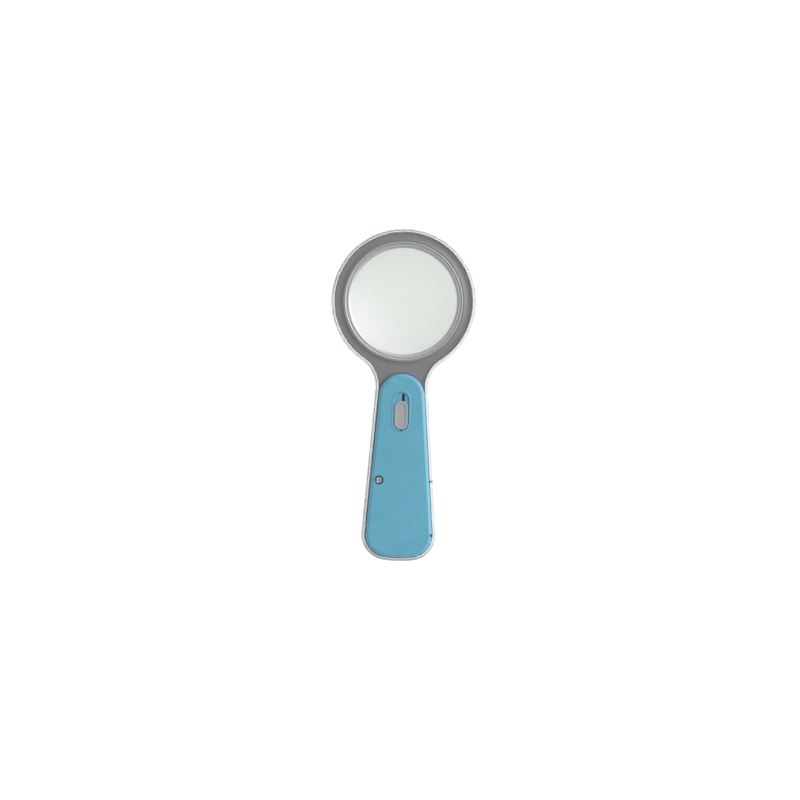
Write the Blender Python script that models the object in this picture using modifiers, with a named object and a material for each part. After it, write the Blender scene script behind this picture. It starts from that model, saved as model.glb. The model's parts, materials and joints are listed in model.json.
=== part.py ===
"""Hand-held low vision magnifier with an LED light and a battery handle.

It lies on its back: +Z is the front face, +Y points from the handle to the lens, and the
origin is the centre of the bottom of its bounding box.  "Drop" is a distance measured from
the lens centre towards the end of the handle.
"""
import math

import bmesh
import bpy
from mathutils import Matrix, Vector

MM = 0.001
GAP = 0.3 * MM
RING_STEPS = 48

# Plan of the body, seen from the front
LENS_Y = 48.02 * MM
HEAD_RADIUS = 37.05 * MM
NECK_FILLET = 15.9 * MM
SIDE_ANGLE = math.radians(4.35)
SIDE_DROP = 50.0 * MM
SIDE_HALF_WIDTH = 13.85 * MM
CORNER_RADIUS = 13.3 * MM
CROWN_RADIUS = 60.0 * MM
TAIL_DROP = 133.1 * MM

# Clear rear shell
SHELL_WALL = 1.7 * MM
SHELL_FLOOR = 1.8 * MM
SHELL_TOP = 14.2 * MM
SHELL_BACK_RADIUS = 2.0 * MM
SHELL_CHAMFER = 0.35 * MM
SHELL_OPENING = 28.6 * MM

# Grey front frame
FRAME_INSET = SHELL_WALL + GAP
FRAME_BOTTOM = SHELL_FLOOR + GAP
FRAME_FLOOR_TOP = 3.0 * MM
FRAME_TOP = 13.0 * MM
FRAME_LEDGE = 12.0 * MM
FRAME_WALL = 0.85 * MM
BARREL_RADIUS = 30.0 * MM
BARREL_WALL = 1.2 * MM
SEAT_RADIUS = 28.3 * MM
SEAT_TOP = 6.5 * MM
BEZEL_SEAT_RADIUS = 30.7 * MM
BEZEL_SEAT_Z = 12.4 * MM
# Lip around the bezel, which falls away in a cove: (radius, height over the ring) in millimetres
LIP_SECTION = ((29.0, 0.9), (31.0, 0.9), (31.35, 0.7), (31.8, 0.45), (32.3, 0.26), (33.0, 0.11),
               (34.5, -0.02), (34.5, -0.2), (29.0, -0.2))

# Lens
LENS_RADIUS = 29.5 * MM
LENS_CURVE = 122.0 * MM
LENS_EDGE_LOW = 7.9 * MM
LENS_EDGE_HIGH = 10.3 * MM
LENS_CHAMFER = 0.3 * MM
CLEAR_APERTURE = 27.3 * MM

# Blue handle cover
COVER_INSET = 2.4 * MM
COVER_TOP_DROP = 37.1 * MM
COVER_BOTTOM = 12.3 * MM
COVER_ROOF = 14.9 * MM
COVER_TOP = 16.5 * MM
COVER_SKIRT = 1.6 * MM
COVER_EDGE_RADIUS = 1.8 * MM
RECESS_WIDTH = 9.1 * MM
RECESS_LENGTH = 20.3 * MM
RECESS_DROP = 56.35 * MM
RECESS_FLOOR = 15.5 * MM
RECESS_UNDERSIDE = 13.9 * MM
RIM_CHAMFER = 0.3 * MM
# Notches in the right edge: (drop, length, depth inwards, top)
NOTCHES = ((92.0 * MM, 3.4 * MM, 0.7 * MM, 15.0 * MM), (119.6 * MM, 1.5 * MM, 0.55 * MM, 20.0 * MM))

# Slide switch
TRAVEL = 4.5 * MM
BUTTON_WIDTH = 6.9 * MM
BUTTON_LENGTH = 14.2 * MM
BUTTON_DROP = 58.2 * MM
STEM_WIDTH = 0.8 * MM
STEM_LENGTH = 8.0 * MM
STEM_DROP = 56.2 * MM
LEVER_LENGTH = 2.0 * MM
CAN_LENGTH = 12.4 * MM
CAN_WIDTH = 5.6 * MM
CAN_TOP = 10.9 * MM

# Cover screw, left of the cells
SCREW_X = -10.6 * MM
SCREW_DROP = 91.8 * MM
SCREW_RECESS_RADIUS = 2.3 * MM
SCREW_SHOULDER = 13.9 * MM

# Circuit board
BOARD_BOTTOM = 5.9 * MM
BOARD_TOP = 6.9 * MM
BOARD_WIDTH = 9.4 * MM
BOARD_LENGTH = 27.0 * MM
BOARD_DROP = 54.8 * MM

# Two AAA cells side by side
CELL_RADIUS = 5.25 * MM
CELL_LENGTH = 44.5 * MM
CELL_Z = 8.6 * MM
CELL_LEFT_X = -2.95 * MM
CELL_RIGHT_X = 7.8 * MM
CELLS_START_DROP = 76.9 * MM
CELLS_END_DROP = 126.6 * MM

# Screws that hold the frame to the shell: (x, drop)
FRAME_SCREWS = ((-8.2 * MM, 49.0 * MM), (8.2 * MM, 49.0 * MM), (-11.3 * MM, 112.0 * MM))
POST_TOP = 6.0 * MM
SLEEVE_TOP = 7.3 * MM


def y_at(drop):
    """World Y of a distance below the lens centre."""
    return LENS_Y - drop


# ---------------------------------------------------------------- plan outlines

def arc(centre, radius, start, end, steps):
    """Points of an arc, both ends included."""
    points = []
    for step in range(steps + 1):
        angle = start + (end - start) * step / steps
        points.append(centre + Vector((radius * math.cos(angle), radius * math.sin(angle))))
    return points


def mirrored(right_half):
    """Close a right half, given top to bottom on the axis at both ends, with its mirror image."""
    left_half = [Vector((-point.x, point.y)) for point in reversed(right_half[1:-1])]
    return right_half + left_half


def side_point(shift, from_drop, distance):
    """Point on the side line moved outwards by shift, at a distance from the axis at from_drop."""
    slope = math.tan(SIDE_ANGLE)
    start = SIDE_HALF_WIDTH + slope * (from_drop - SIDE_DROP) + shift / math.cos(SIDE_ANGLE)
    square = 1.0 + slope ** 2
    cross = start * slope
    fall = (math.sqrt(cross ** 2 - square * (start ** 2 - distance ** 2)) - cross) / square
    return Vector((start + slope * fall, y_at(from_drop + fall)))


def tail_half(inset):
    """Right side below the neck: the corner arc, then the crowned end."""
    crown_drop = TAIL_DROP - CROWN_RADIUS
    crown = Vector((0.0, y_at(crown_drop)))
    corner = side_point(-CORNER_RADIUS, crown_drop, CROWN_RADIUS - CORNER_RADIUS)
    turn = math.atan2(corner.y - crown.y, corner.x)
    points = arc(corner, CORNER_RADIUS - inset, SIDE_ANGLE, turn, 8)
    return points + arc(crown, CROWN_RADIUS - inset, turn, -math.pi / 2, 2)[1:]


def body_outline(inset):
    """Outline of the whole body, moved inwards by inset: head circle, neck, tapered handle."""
    head = Vector((0.0, LENS_Y))
    neck = side_point(NECK_FILLET, 0.0, HEAD_RADIUS + NECK_FILLET)
    turn = math.atan2(neck.y - head.y, neck.x)
    right = arc(head, HEAD_RADIUS - inset, math.pi / 2, turn, 22)
    right += arc(neck, NECK_FILLET + inset, turn + math.pi, SIDE_ANGLE + math.pi, 6)[1:]
    return mirrored(right + tail_half(inset))


def cover_outline(inset):
    """Outline of the handle cover: a round top that runs into the body's side lines."""
    half_width = SIDE_HALF_WIDTH + math.tan(SIDE_ANGLE) * (COVER_TOP_DROP - SIDE_DROP)
    radius = (half_width * math.cos(SIDE_ANGLE) - COVER_INSET) / (1.0 - math.sin(SIDE_ANGLE))
    centre = Vector((0.0, y_at(COVER_TOP_DROP + radius)))
    right = arc(centre, radius + COVER_INSET - inset, math.pi / 2, SIDE_ANGLE, 10)
    return mirrored(right + tail_half(inset))


def stadium(width, length, drop, x=0.0, steps=8):
    """Long hole outline along Y with round ends."""
    radius = width / 2
    reach = length / 2 - radius
    top = arc(Vector((x, y_at(drop) + reach)), radius, math.pi, 0.0, steps)
    return top + arc(Vector((x, y_at(drop) - reach)), radius, 0.0, -math.pi, steps)


# ---------------------------------------------------------------- solids

def link(name, mesh, material=None):
    """Put a mesh in the part's collection as a named object."""
    obj = bpy.data.objects.new(name, mesh)
    PARTS.objects.link(obj)
    if material:
        mesh.materials.clear()
        mesh.materials.append(material)
    return obj


def evaluated_mesh(obj):
    """The object's mesh with its modifiers or curve settings worked out."""
    bpy.context.view_layer.update()
    graph = bpy.context.evaluated_depsgraph_get()
    return bpy.data.meshes.new_from_object(obj.evaluated_get(graph))


def meshed(curve_object, material=None):
    """Replace a curve object by a welded mesh object of the same name and place."""
    mesh = evaluated_mesh(curve_object)
    name = curve_object.name
    place = curve_object.matrix_world.copy()
    bpy.data.objects.remove(curve_object)
    bm = bmesh.new()
    bm.from_mesh(mesh)
    bmesh.ops.remove_doubles(bm, verts=bm.verts, dist=1e-6)
    bmesh.ops.recalc_face_normals(bm, faces=bm.faces)
    bm.to_mesh(mesh)
    bm.free()
    obj = link(name, mesh, material)
    obj.matrix_world = place
    return obj


def slab(name, outline, low, high, material=None):
    """Flat outline given a thickness between two heights."""
    curve = bpy.data.curves.new(name, 'CURVE')
    curve.dimensions = '2D'
    curve.fill_mode = 'BOTH'
    curve.extrude = (high - low) / 2
    spline = curve.splines.new('POLY')
    spline.points.add(len(outline) - 1)
    for point, place in zip(spline.points, outline):
        point.co = (place.x, place.y, 0.0, 1.0)
    spline.use_cyclic_u = True
    obj = bpy.data.objects.new(name, curve)
    PARTS.objects.link(obj)
    obj.location.z = (low + high) / 2
    obj = meshed(obj, material)
    obj.data.transform(obj.matrix_world)
    obj.matrix_world = Matrix.Identity(4)
    return obj


def lofted(name, sections, material=None):
    """Closed solid through outlines with the same number of points, as (outline, height)."""
    bm = bmesh.new()
    rings = [[bm.verts.new((point.x, point.y, height)) for point in outline]
             for outline, height in sections]
    for lower, upper in zip(rings, rings[1:]):
        for index in range(len(lower)):
            after = (index + 1) % len(lower)
            bm.faces.new((lower[index], lower[after], upper[after], upper[index]))
    bm.faces.new(rings[0])
    bm.faces.new(rings[-1])
    bmesh.ops.recalc_face_normals(bm, faces=bm.faces)
    mesh = bpy.data.meshes.new(name)
    bm.to_mesh(mesh)
    bm.free()
    return link(name, mesh, material)


def box(name, x, drop, low, high, width, length, material=None):
    """Box centred at x and drop, between two heights."""
    bm = bmesh.new()
    bmesh.ops.create_cube(bm, size=1.0)
    bmesh.ops.scale(bm, verts=bm.verts, vec=(width, length, high - low))
    bmesh.ops.translate(bm, verts=bm.verts, vec=(x, y_at(drop), (low + high) / 2))
    mesh = bpy.data.meshes.new(name)
    bm.to_mesh(mesh)
    bm.free()
    return link(name, mesh, material)


def cylinder(name, x, drop, low, high, radius, material=None, segments=24):
    """Upright cylinder at x and drop, between two heights."""
    bm = bmesh.new()
    bmesh.ops.create_cone(bm, cap_ends=True, segments=segments, radius1=radius,
                          radius2=radius, depth=high - low)
    bmesh.ops.translate(bm, verts=bm.verts, vec=(x, y_at(drop), (low + high) / 2))
    mesh = bpy.data.meshes.new(name)
    bm.to_mesh(mesh)
    bm.free()
    return link(name, mesh, material)


def turned(name, profile, steps, material=None, closed=False):
    """Turn a profile of (radius, height) points, outer side top to bottom, about Z."""
    mesh = bpy.data.meshes.new(name)
    points = [(radius, 0.0, height) for radius, height in profile]
    edges = [(index, index + 1) for index in range(len(points) - 1)]
    if closed:
        edges.append((len(points) - 1, 0))
    mesh.from_pydata(points, edges, [])
    obj = link(name, mesh)
    screw = obj.modifiers.new('Turn', 'SCREW')
    screw.steps = steps
    screw.render_steps = steps
    screw.use_merge_vertices = True
    screw.merge_threshold = 1e-6
    settle(obj)
    bm = bmesh.new()
    bm.from_mesh(obj.data)
    bmesh.ops.remove_doubles(bm, verts=bm.verts, dist=1e-7)
    bmesh.ops.recalc_face_normals(bm, faces=bm.faces)
    bm.to_mesh(obj.data)
    bm.free()
    if material:
        obj.data.materials.append(material)
    return obj


def settle(obj):
    """Make the object's modifiers part of its mesh."""
    mesh = evaluated_mesh(obj)
    obj.modifiers.clear()
    obj.data = mesh


def combine(body, tools, operation):
    """Join ('UNION') or cut ('DIFFERENCE') a list of tools, which are then removed."""
    for tool in tools:
        boolean = body.modifiers.new(tool.name, 'BOOLEAN')
        boolean.operation = operation
        boolean.solver = 'EXACT'
        boolean.object = tool
    settle(body)
    for tool in tools:
        bpy.data.objects.remove(tool)


def round_level(obj, height, radius, segments=3):
    """Round the sharp edges that lie at one height."""
    bm = bmesh.new()
    bm.from_mesh(obj.data)
    edges = []
    for edge in bm.edges:
        level = all(abs(vert.co.z - height) < 1e-6 for vert in edge.verts)
        sharp = edge.is_manifold and edge.calc_face_angle() > math.radians(40)
        if level and sharp:
            edges.append(edge)
    bmesh.ops.bevel(bm, geom=edges, offset=radius, segments=segments, profile=0.5,
                    affect='EDGES', clamp_overlap=False)
    bm.to_mesh(obj.data)
    bm.free()


def smooth(obj, degrees=35):
    """Shade smooth except across sharp corners."""
    obj.data.shade_smooth()
    obj.data.set_sharp_from_angle(angle=math.radians(degrees))


def wire(name, points, radius, material):
    """Round wire with filled ends through a list of points."""
    curve = bpy.data.curves.new(name, 'CURVE')
    curve.dimensions = '3D'
    curve.bevel_depth = radius
    curve.bevel_resolution = 2
    curve.use_fill_caps = True
    spline = curve.splines.new('POLY')
    spline.points.add(len(points) - 1)
    for point, place in zip(spline.points, points):
        point.co = (*place, 1.0)
    obj = bpy.data.objects.new(name, curve)
    PARTS.objects.link(obj)
    obj = meshed(obj, material)
    smooth(obj)
    return obj


def eased(points, steps=4):
    """Smooth route through a few points (Catmull-Rom)."""
    route = [2 * points[0] - points[1]] + points + [2 * points[-1] - points[-2]]
    result = []
    for before, start, end, after in zip(route, route[1:], route[2:], route[3:]):
        for step in range(steps):
            t = step / steps
            blend = (2 * start + (end - before) * t
                     + (2 * before - 5 * start + 4 * end - after) * t ** 2
                     + (3 * start - before - 3 * end + after) * t ** 3)
            result.append(blend / 2)
    result.append(points[-1])
    return result


def paint(name, colour, roughness, metallic=0.0, transmission=0.0):
    """Principled material from a linear colour."""
    material = bpy.data.materials.new(name)
    material.use_nodes = True
    shader = material.node_tree.nodes['Principled BSDF']
    shader.inputs['Base Color'].default_value = (*colour, 1.0)
    shader.inputs['Roughness'].default_value = roughness
    shader.inputs['Metallic'].default_value = metallic
    shader.inputs['Transmission Weight'].default_value = transmission
    return material


# ---------------------------------------------------------------- housing

def make_rear_shell():
    """Clear tray: floor with the lens opening, wall all round, posts for the frame screws."""
    sections = []
    for degrees in (0.0, 30.0, 60.0, 90.0):
        angle = math.radians(degrees)
        sections.append((SHELL_BACK_RADIUS * (1.0 - math.sin(angle)),
                         SHELL_BACK_RADIUS * (1.0 - math.cos(angle))))
    sections += [(0.0, SHELL_TOP - SHELL_CHAMFER), (SHELL_CHAMFER, SHELL_TOP),
                 (SHELL_WALL - SHELL_CHAMFER, SHELL_TOP),
                 (SHELL_WALL, SHELL_TOP - SHELL_CHAMFER), (SHELL_WALL, SHELL_FLOOR)]
    shell = lofted('rear_shell', [(body_outline(inset), height) for inset, height in sections],
                   CLEAR_PLASTIC)
    opening = cylinder('opening', 0.0, 0.0, -SHELL_FLOOR, 2 * SHELL_FLOOR, SHELL_OPENING,
                       segments=RING_STEPS)
    combine(shell, [opening], 'DIFFERENCE')
    posts = []
    for x, drop in FRAME_SCREWS:
        posts.append(cylinder('post', x, drop, SHELL_FLOOR / 2, POST_TOP, 2.0 * MM))
    combine(shell, posts, 'UNION')
    pilots = []
    for x, drop in FRAME_SCREWS:
        pilots.append(cylinder('pilot', x, drop, SHELL_FLOOR / 2, 2 * POST_TOP, 1.2 * MM))
    combine(shell, pilots, 'DIFFERENCE')
    smooth(shell)


def frame_hollows():
    """Everything cut out of the frame's block."""
    far = 2 * FRAME_TOP
    below = -FRAME_BOTTOM
    ledge_outline = cover_outline(FRAME_INSET - 0.15 * MM)
    cover_seat = slab('cover_seat', ledge_outline, FRAME_LEDGE, far)
    tub = slab('tub', cover_outline(FRAME_INSET + FRAME_WALL), FRAME_FLOOR_TOP, far)
    deck_end_drop = 43.8 * MM
    deck_end = box('deck_end', 0.0, deck_end_drop + HEAD_RADIUS, FRAME_LEDGE + 0.05 * MM, far,
                   2 * HEAD_RADIUS, 2 * HEAD_RADIUS)
    chamber = box('chamber', 0.0, 35.6 * MM, below, 11.9 * MM, 12.0 * MM, 8.4 * MM)
    window = box('window', 0.0, 30.0 * MM, below, 6.1 * MM, 4.4 * MM, 5.0 * MM)
    bore_profile = [(0.0, far), (BEZEL_SEAT_RADIUS, far), (BEZEL_SEAT_RADIUS, BEZEL_SEAT_Z),
                    (BARREL_RADIUS, BEZEL_SEAT_Z), (BARREL_RADIUS, SEAT_TOP),
                    (SEAT_RADIUS, SEAT_TOP), (SEAT_RADIUS, below), (0.0, below)]
    bore = turned('bore', bore_profile, RING_STEPS)
    channel_top = 12.2 * MM
    inner = BARREL_RADIUS + BARREL_WALL
    outer = inner + 2.7 * MM
    channel_profile = [(inner, channel_top), (outer, channel_top), (outer, below),
                       (inner, below)]
    channel = turned('channel', channel_profile, RING_STEPS, closed=True)
    for ring in (bore, channel):
        ring.data.transform(Matrix.Translation((0.0, LENS_Y, 0.0)))
    return [cover_seat, tub, deck_end, chamber, window, bore, channel]


def make_front_frame():
    """Grey frame: ring with lens barrel, neck deck, and the walls and floor of the handle."""
    frame = slab('front_frame', body_outline(FRAME_INSET), FRAME_BOTTOM, FRAME_TOP, GREY_PLASTIC)
    lip_profile = [(radius * MM, FRAME_TOP + height * MM) for radius, height in LIP_SECTION]
    lip = turned('lip', lip_profile, RING_STEPS, closed=True)
    lip.data.transform(Matrix.Translation((0.0, LENS_Y, 0.0)))
    combine(frame, [lip], 'UNION')
    combine(frame, frame_hollows(), 'DIFFERENCE')
    root = FRAME_FLOOR_TOP - 0.4 * MM
    added = [box('screw_boss', SCREW_X - 0.8 * MM, SCREW_DROP, root, FRAME_LEDGE,
                 5.8 * MM, 6.0 * MM)]
    for x, drop in FRAME_SCREWS:
        added.append(cylinder('sleeve', x, drop, root, SLEEVE_TOP, 3.1 * MM))
    for x in (-3.4 * MM, 3.4 * MM):
        for end in (-1, 1):
            drop = BOARD_DROP + end * (BOARD_LENGTH / 2 - 2.0 * MM)
            added.append(cylinder('board_post', x, drop, root, BOARD_BOTTOM - GAP, 1.1 * MM,
                                  segments=16))
    for drop in (CELLS_START_DROP - 1.6 * MM, CELLS_END_DROP + 1.0 * MM):
        added.append(box('cell_wall', 2.4 * MM, drop, root, 10.8 * MM, 20.4 * MM, 0.9 * MM))
    for drop in (90.0 * MM, 103.0 * MM, 116.0 * MM):
        added.append(box('cradle', 2.5 * MM, drop, root, 6.2 * MM, 20.6 * MM, 1.2 * MM))
    added.append(box('catch', 14.45 * MM, 92.0 * MM, FRAME_LEDGE - 0.5 * MM, 14.6 * MM,
                     0.9 * MM, 2.6 * MM))
    combine(frame, added, 'UNION')
    cut = [cylinder('pilot', SCREW_X, SCREW_DROP, 5.0 * MM, FRAME_TOP, 1.3 * MM)]
    for x, drop in FRAME_SCREWS:
        cut.append(cylinder('post_room', x, drop, 0.0, POST_TOP + GAP, 2.0 * MM + GAP))
        cut.append(cylinder('screw_hole', x, drop, 0.0, FRAME_TOP, 1.2 * MM))
    for x in (CELL_LEFT_X, CELL_RIGHT_X):
        bm = bmesh.new()
        bmesh.ops.create_cone(bm, cap_ends=True, segments=32, radius1=CELL_RADIUS + GAP,
                              radius2=CELL_RADIUS + GAP, depth=36.0 * MM,
                              matrix=Matrix.Rotation(math.pi / 2, 4, 'X'))
        bmesh.ops.translate(bm, verts=bm.verts, vec=(x, y_at(103.0 * MM), CELL_Z))
        mesh = bpy.data.meshes.new('cell_room')
        bm.to_mesh(mesh)
        bm.free()
        cut.append(link('cell_room', mesh))
    combine(frame, cut, 'DIFFERENCE')
    smooth(frame)


def make_handle_cover():
    """Blue cover: shell with a switch recess, a screw tube and two notches in its right edge."""
    cover = slab('handle_cover', cover_outline(COVER_INSET), COVER_BOTTOM, COVER_TOP,
                 BLUE_PLASTIC)
    round_level(cover, COVER_TOP, COVER_EDGE_RADIUS, 4)
    hollow = slab('hollow', cover_outline(COVER_INSET + COVER_SKIRT), 0.0, COVER_ROOF)
    notches = []
    for drop, length, inwards, top in NOTCHES:
        edge = SIDE_HALF_WIDTH + math.tan(SIDE_ANGLE) * (drop - SIDE_DROP) - COVER_INSET
        notches.append(box('notch', edge + MM - inwards, drop, 0.0, top, 2.0 * MM, length))
    combine(cover, [hollow] + notches, 'DIFFERENCE')
    pad = slab('pad', stadium(RECESS_WIDTH + 3.0 * MM, RECESS_LENGTH + 3.0 * MM, RECESS_DROP),
               RECESS_UNDERSIDE, COVER_ROOF + 0.4 * MM)
    tube = cylinder('tube', SCREW_X, SCREW_DROP, COVER_BOTTOM + GAP, COVER_ROOF + 0.4 * MM,
                    SCREW_RECESS_RADIUS + 0.9 * MM, segments=32)
    combine(cover, [pad, tube], 'UNION')
    recess_rings = []
    for grow, height in ((0.0, RECESS_FLOOR), (0.0, COVER_TOP - RIM_CHAMFER),
                         (RIM_CHAMFER, COVER_TOP), (RIM_CHAMFER, 2 * COVER_TOP)):
        ring = stadium(RECESS_WIDTH + 2 * grow, RECESS_LENGTH + 2 * grow, RECESS_DROP)
        recess_rings.append((ring, height))
    recess = lofted('recess', recess_rings)
    slot_drop = STEM_DROP - TRAVEL / 2
    slot = slab('slot', stadium(STEM_WIDTH + 2 * GAP, STEM_LENGTH + TRAVEL + 2 * GAP, slot_drop,
                                steps=4), 0.0, 2 * COVER_TOP)
    mouth = SCREW_RECESS_RADIUS + RIM_CHAMFER
    screw_recess = turned('screw_recess', [(0.0, 2 * COVER_TOP), (mouth, 2 * COVER_TOP),
                                           (mouth, COVER_TOP),
                                           (SCREW_RECESS_RADIUS, COVER_TOP - RIM_CHAMFER),
                                           (SCREW_RECESS_RADIUS, SCREW_SHOULDER),
                                           (0.0, SCREW_SHOULDER)], 32)
    screw_recess.data.transform(Matrix.Translation((SCREW_X, y_at(SCREW_DROP), 0.0)))
    shank_hole = cylinder('shank_hole', SCREW_X, SCREW_DROP, 0.0, 2 * COVER_TOP, 1.4 * MM)
    combine(cover, [recess, slot, screw_recess, shank_hole], 'DIFFERENCE')
    smooth(cover)


# ---------------------------------------------------------------- lens

def lens_face(radius):
    """Height that a lens face has lost at a radius, counted from its middle."""
    return LENS_CURVE - math.sqrt(LENS_CURVE ** 2 - radius ** 2)


def make_lens():
    """Biconvex lens with chamfered edges."""
    rim = LENS_RADIUS - LENS_CHAMFER
    front = []
    back = []
    for step in range(6):
        radius = rim * step / 5
        rise = lens_face(rim) - lens_face(radius)
        front.append((radius, LENS_EDGE_HIGH + rise))
        back.append((radius, LENS_EDGE_LOW - rise))
    edge = [(LENS_RADIUS, LENS_EDGE_HIGH - LENS_CHAMFER),
            (LENS_RADIUS, LENS_EDGE_LOW + LENS_CHAMFER)]
    lens = turned('lens', front + edge + back[::-1], RING_STEPS, LENS_GLASS)
    lens.location.y = LENS_Y
    smooth(lens)


def make_lens_gasket():
    """Soft ring under the lens edge."""
    low = SEAT_TOP + GAP
    high = LENS_EDGE_LOW - 0.6 * MM
    inner = SEAT_RADIUS + 0.2 * MM
    outer = BARREL_RADIUS - GAP
    profile = [(inner, high), (outer, high), (outer, low), (inner, low)]
    gasket = turned('lens_gasket', profile, RING_STEPS, RUBBER, closed=True)
    gasket.location.y = LENS_Y
    smooth(gasket)


def make_lens_retainer():
    """Stepped bezel that holds the lens down: sloped inner band, groove, bead and flange."""
    foot = BARREL_RADIUS - GAP
    flange = BEZEL_SEAT_RADIUS - GAP
    profile = [(CLEAR_APERTURE, 12.5 * MM), (CLEAR_APERTURE + 0.2 * MM, 12.7 * MM),
               (28.8 * MM, 13.1 * MM), (29.0 * MM, 12.7 * MM), (29.4 * MM, 12.7 * MM),
               (29.6 * MM, 13.6 * MM), (29.8 * MM, 13.8 * MM), (30.1 * MM, 13.8 * MM),
               (flange, 13.5 * MM), (flange, BEZEL_SEAT_Z + GAP), (foot, BEZEL_SEAT_Z + GAP),
               (foot, LENS_EDGE_HIGH + 0.35 * MM),
               (CLEAR_APERTURE, LENS_EDGE_HIGH + 0.85 * MM)]
    retainer = turned('lens_retainer', profile, RING_STEPS, BEZEL_PLASTIC, closed=True)
    retainer.location.y = LENS_Y
    smooth(retainer, 50)


# ---------------------------------------------------------------- switch

def make_switch_button():
    """Pill-shaped slide button with a stem that passes through the cover's slot."""
    low = RECESS_FLOOR + GAP
    high = COVER_TOP + 0.2 * MM
    button = slab('switch_button', stadium(BUTTON_WIDTH, BUTTON_LENGTH, BUTTON_DROP), low, high,
                  BUTTON_PLASTIC)
    round_level(button, high, 0.5 * MM, 3)
    dish = slab('dish', stadium(BUTTON_WIDTH - 2.4 * MM, BUTTON_LENGTH - 2.4 * MM, BUTTON_DROP),
                high - 0.25 * MM, 2 * high)
    combine(button, [dish], 'DIFFERENCE')
    stem = box('stem', 0.0, STEM_DROP, 13.0 * MM, low + 0.2 * MM, STEM_WIDTH, STEM_LENGTH)
    combine(button, [stem], 'UNION')
    smooth(button)


def make_switch_slider():
    """Plate under the cover, clipped to the stem, with a fork around the lever."""
    plate = box('switch_slider', 0.0, STEM_DROP - TRAVEL / 2, 12.3 * MM, RECESS_UNDERSIDE - GAP,
                4.6 * MM, 10.0 * MM + TRAVEL, BLACK_PLASTIC)
    prong_offset = LEVER_LENGTH / 2 + GAP + 0.6 * MM
    prongs = []
    for end in (-1, 1):
        prongs.append(box('prong', 0.0, STEM_DROP + end * prong_offset, 11.2 * MM, 12.5 * MM,
                          2.2 * MM, 1.2 * MM))
    combine(plate, prongs, 'UNION')
    socket = box('socket', 0.0, STEM_DROP, 12.7 * MM, RECESS_FLOOR, STEM_WIDTH + 2 * GAP,
                 STEM_LENGTH + 2 * GAP)
    combine(plate, [socket], 'DIFFERENCE')


def make_switch():
    """Slide switch on the board: base, metal can, lever and three pins."""
    middle = STEM_DROP - TRAVEL / 2
    base_low = BOARD_TOP + GAP
    base_high = base_low + 1.2 * MM
    base = box('switch_base', 0.0, middle, base_low, base_high, 4.4 * MM, CAN_LENGTH - 1.2 * MM,
               BLACK_PLASTIC)
    pin_holes = []
    for index in range(3):
        drop = middle + (index - 1) * 3.6 * MM
        pin = box(f'switch_pin_{index + 1}', 0.0, drop, BOARD_BOTTOM - 0.6 * MM,
                  base_low + 0.5 * MM, 0.9 * MM, 0.5 * MM, BRASS)
        round_level(pin, BOARD_BOTTOM - 0.6 * MM, 0.12 * MM, 1)
        pin_holes.append(box('pin_hole', 0.0, drop, 0.0, base_low + 0.8 * MM, 1.5 * MM, 1.1 * MM))
    combine(base, pin_holes, 'DIFFERENCE')
    can = box('switch_can', 0.0, middle, base_low, CAN_TOP, CAN_WIDTH, CAN_LENGTH, STEEL)
    inside = box('inside', 0.0, middle, 0.0, CAN_TOP - 0.4 * MM, 5.0 * MM,
                 CAN_LENGTH - 0.6 * MM)
    lever_slot = box('lever_slot', 0.0, middle, 0.0, 2 * CAN_TOP, 2.1 * MM,
                     LEVER_LENGTH + TRAVEL + 2 * GAP)
    combine(can, [inside, lever_slot], 'DIFFERENCE')
    lever = box('switch_lever', 0.0, STEM_DROP, base_high + GAP, base_high + 1.4 * MM, 3.6 * MM,
                3.8 * MM, WHITE_PLASTIC)
    post = box('post', 0.0, STEM_DROP, base_high + MM, 12.0 * MM, 1.5 * MM, LEVER_LENGTH)
    combine(lever, [post], 'UNION')


def make_circuit_board():
    """Board under the switch, with its resistor."""
    board = box('circuit_board', 0.0, BOARD_DROP, BOARD_BOTTOM, BOARD_TOP, BOARD_WIDTH,
                BOARD_LENGTH, BOARD_GREEN)
    middle = STEM_DROP - TRAVEL / 2
    holes = []
    for index in range(3):
        drop = middle + (index - 1) * 3.6 * MM
        holes.append(box('hole', 0.0, drop, 0.0, 2 * BOARD_TOP, 1.5 * MM, 1.1 * MM))
    combine(board, holes, 'DIFFERENCE')
    box('resistor', -1.6 * MM, 64.2 * MM, BOARD_TOP + GAP, BOARD_TOP + 0.85 * MM, 1.6 * MM,
        3.2 * MM, BLACK_PLASTIC)


# ---------------------------------------------------------------- light

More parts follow.
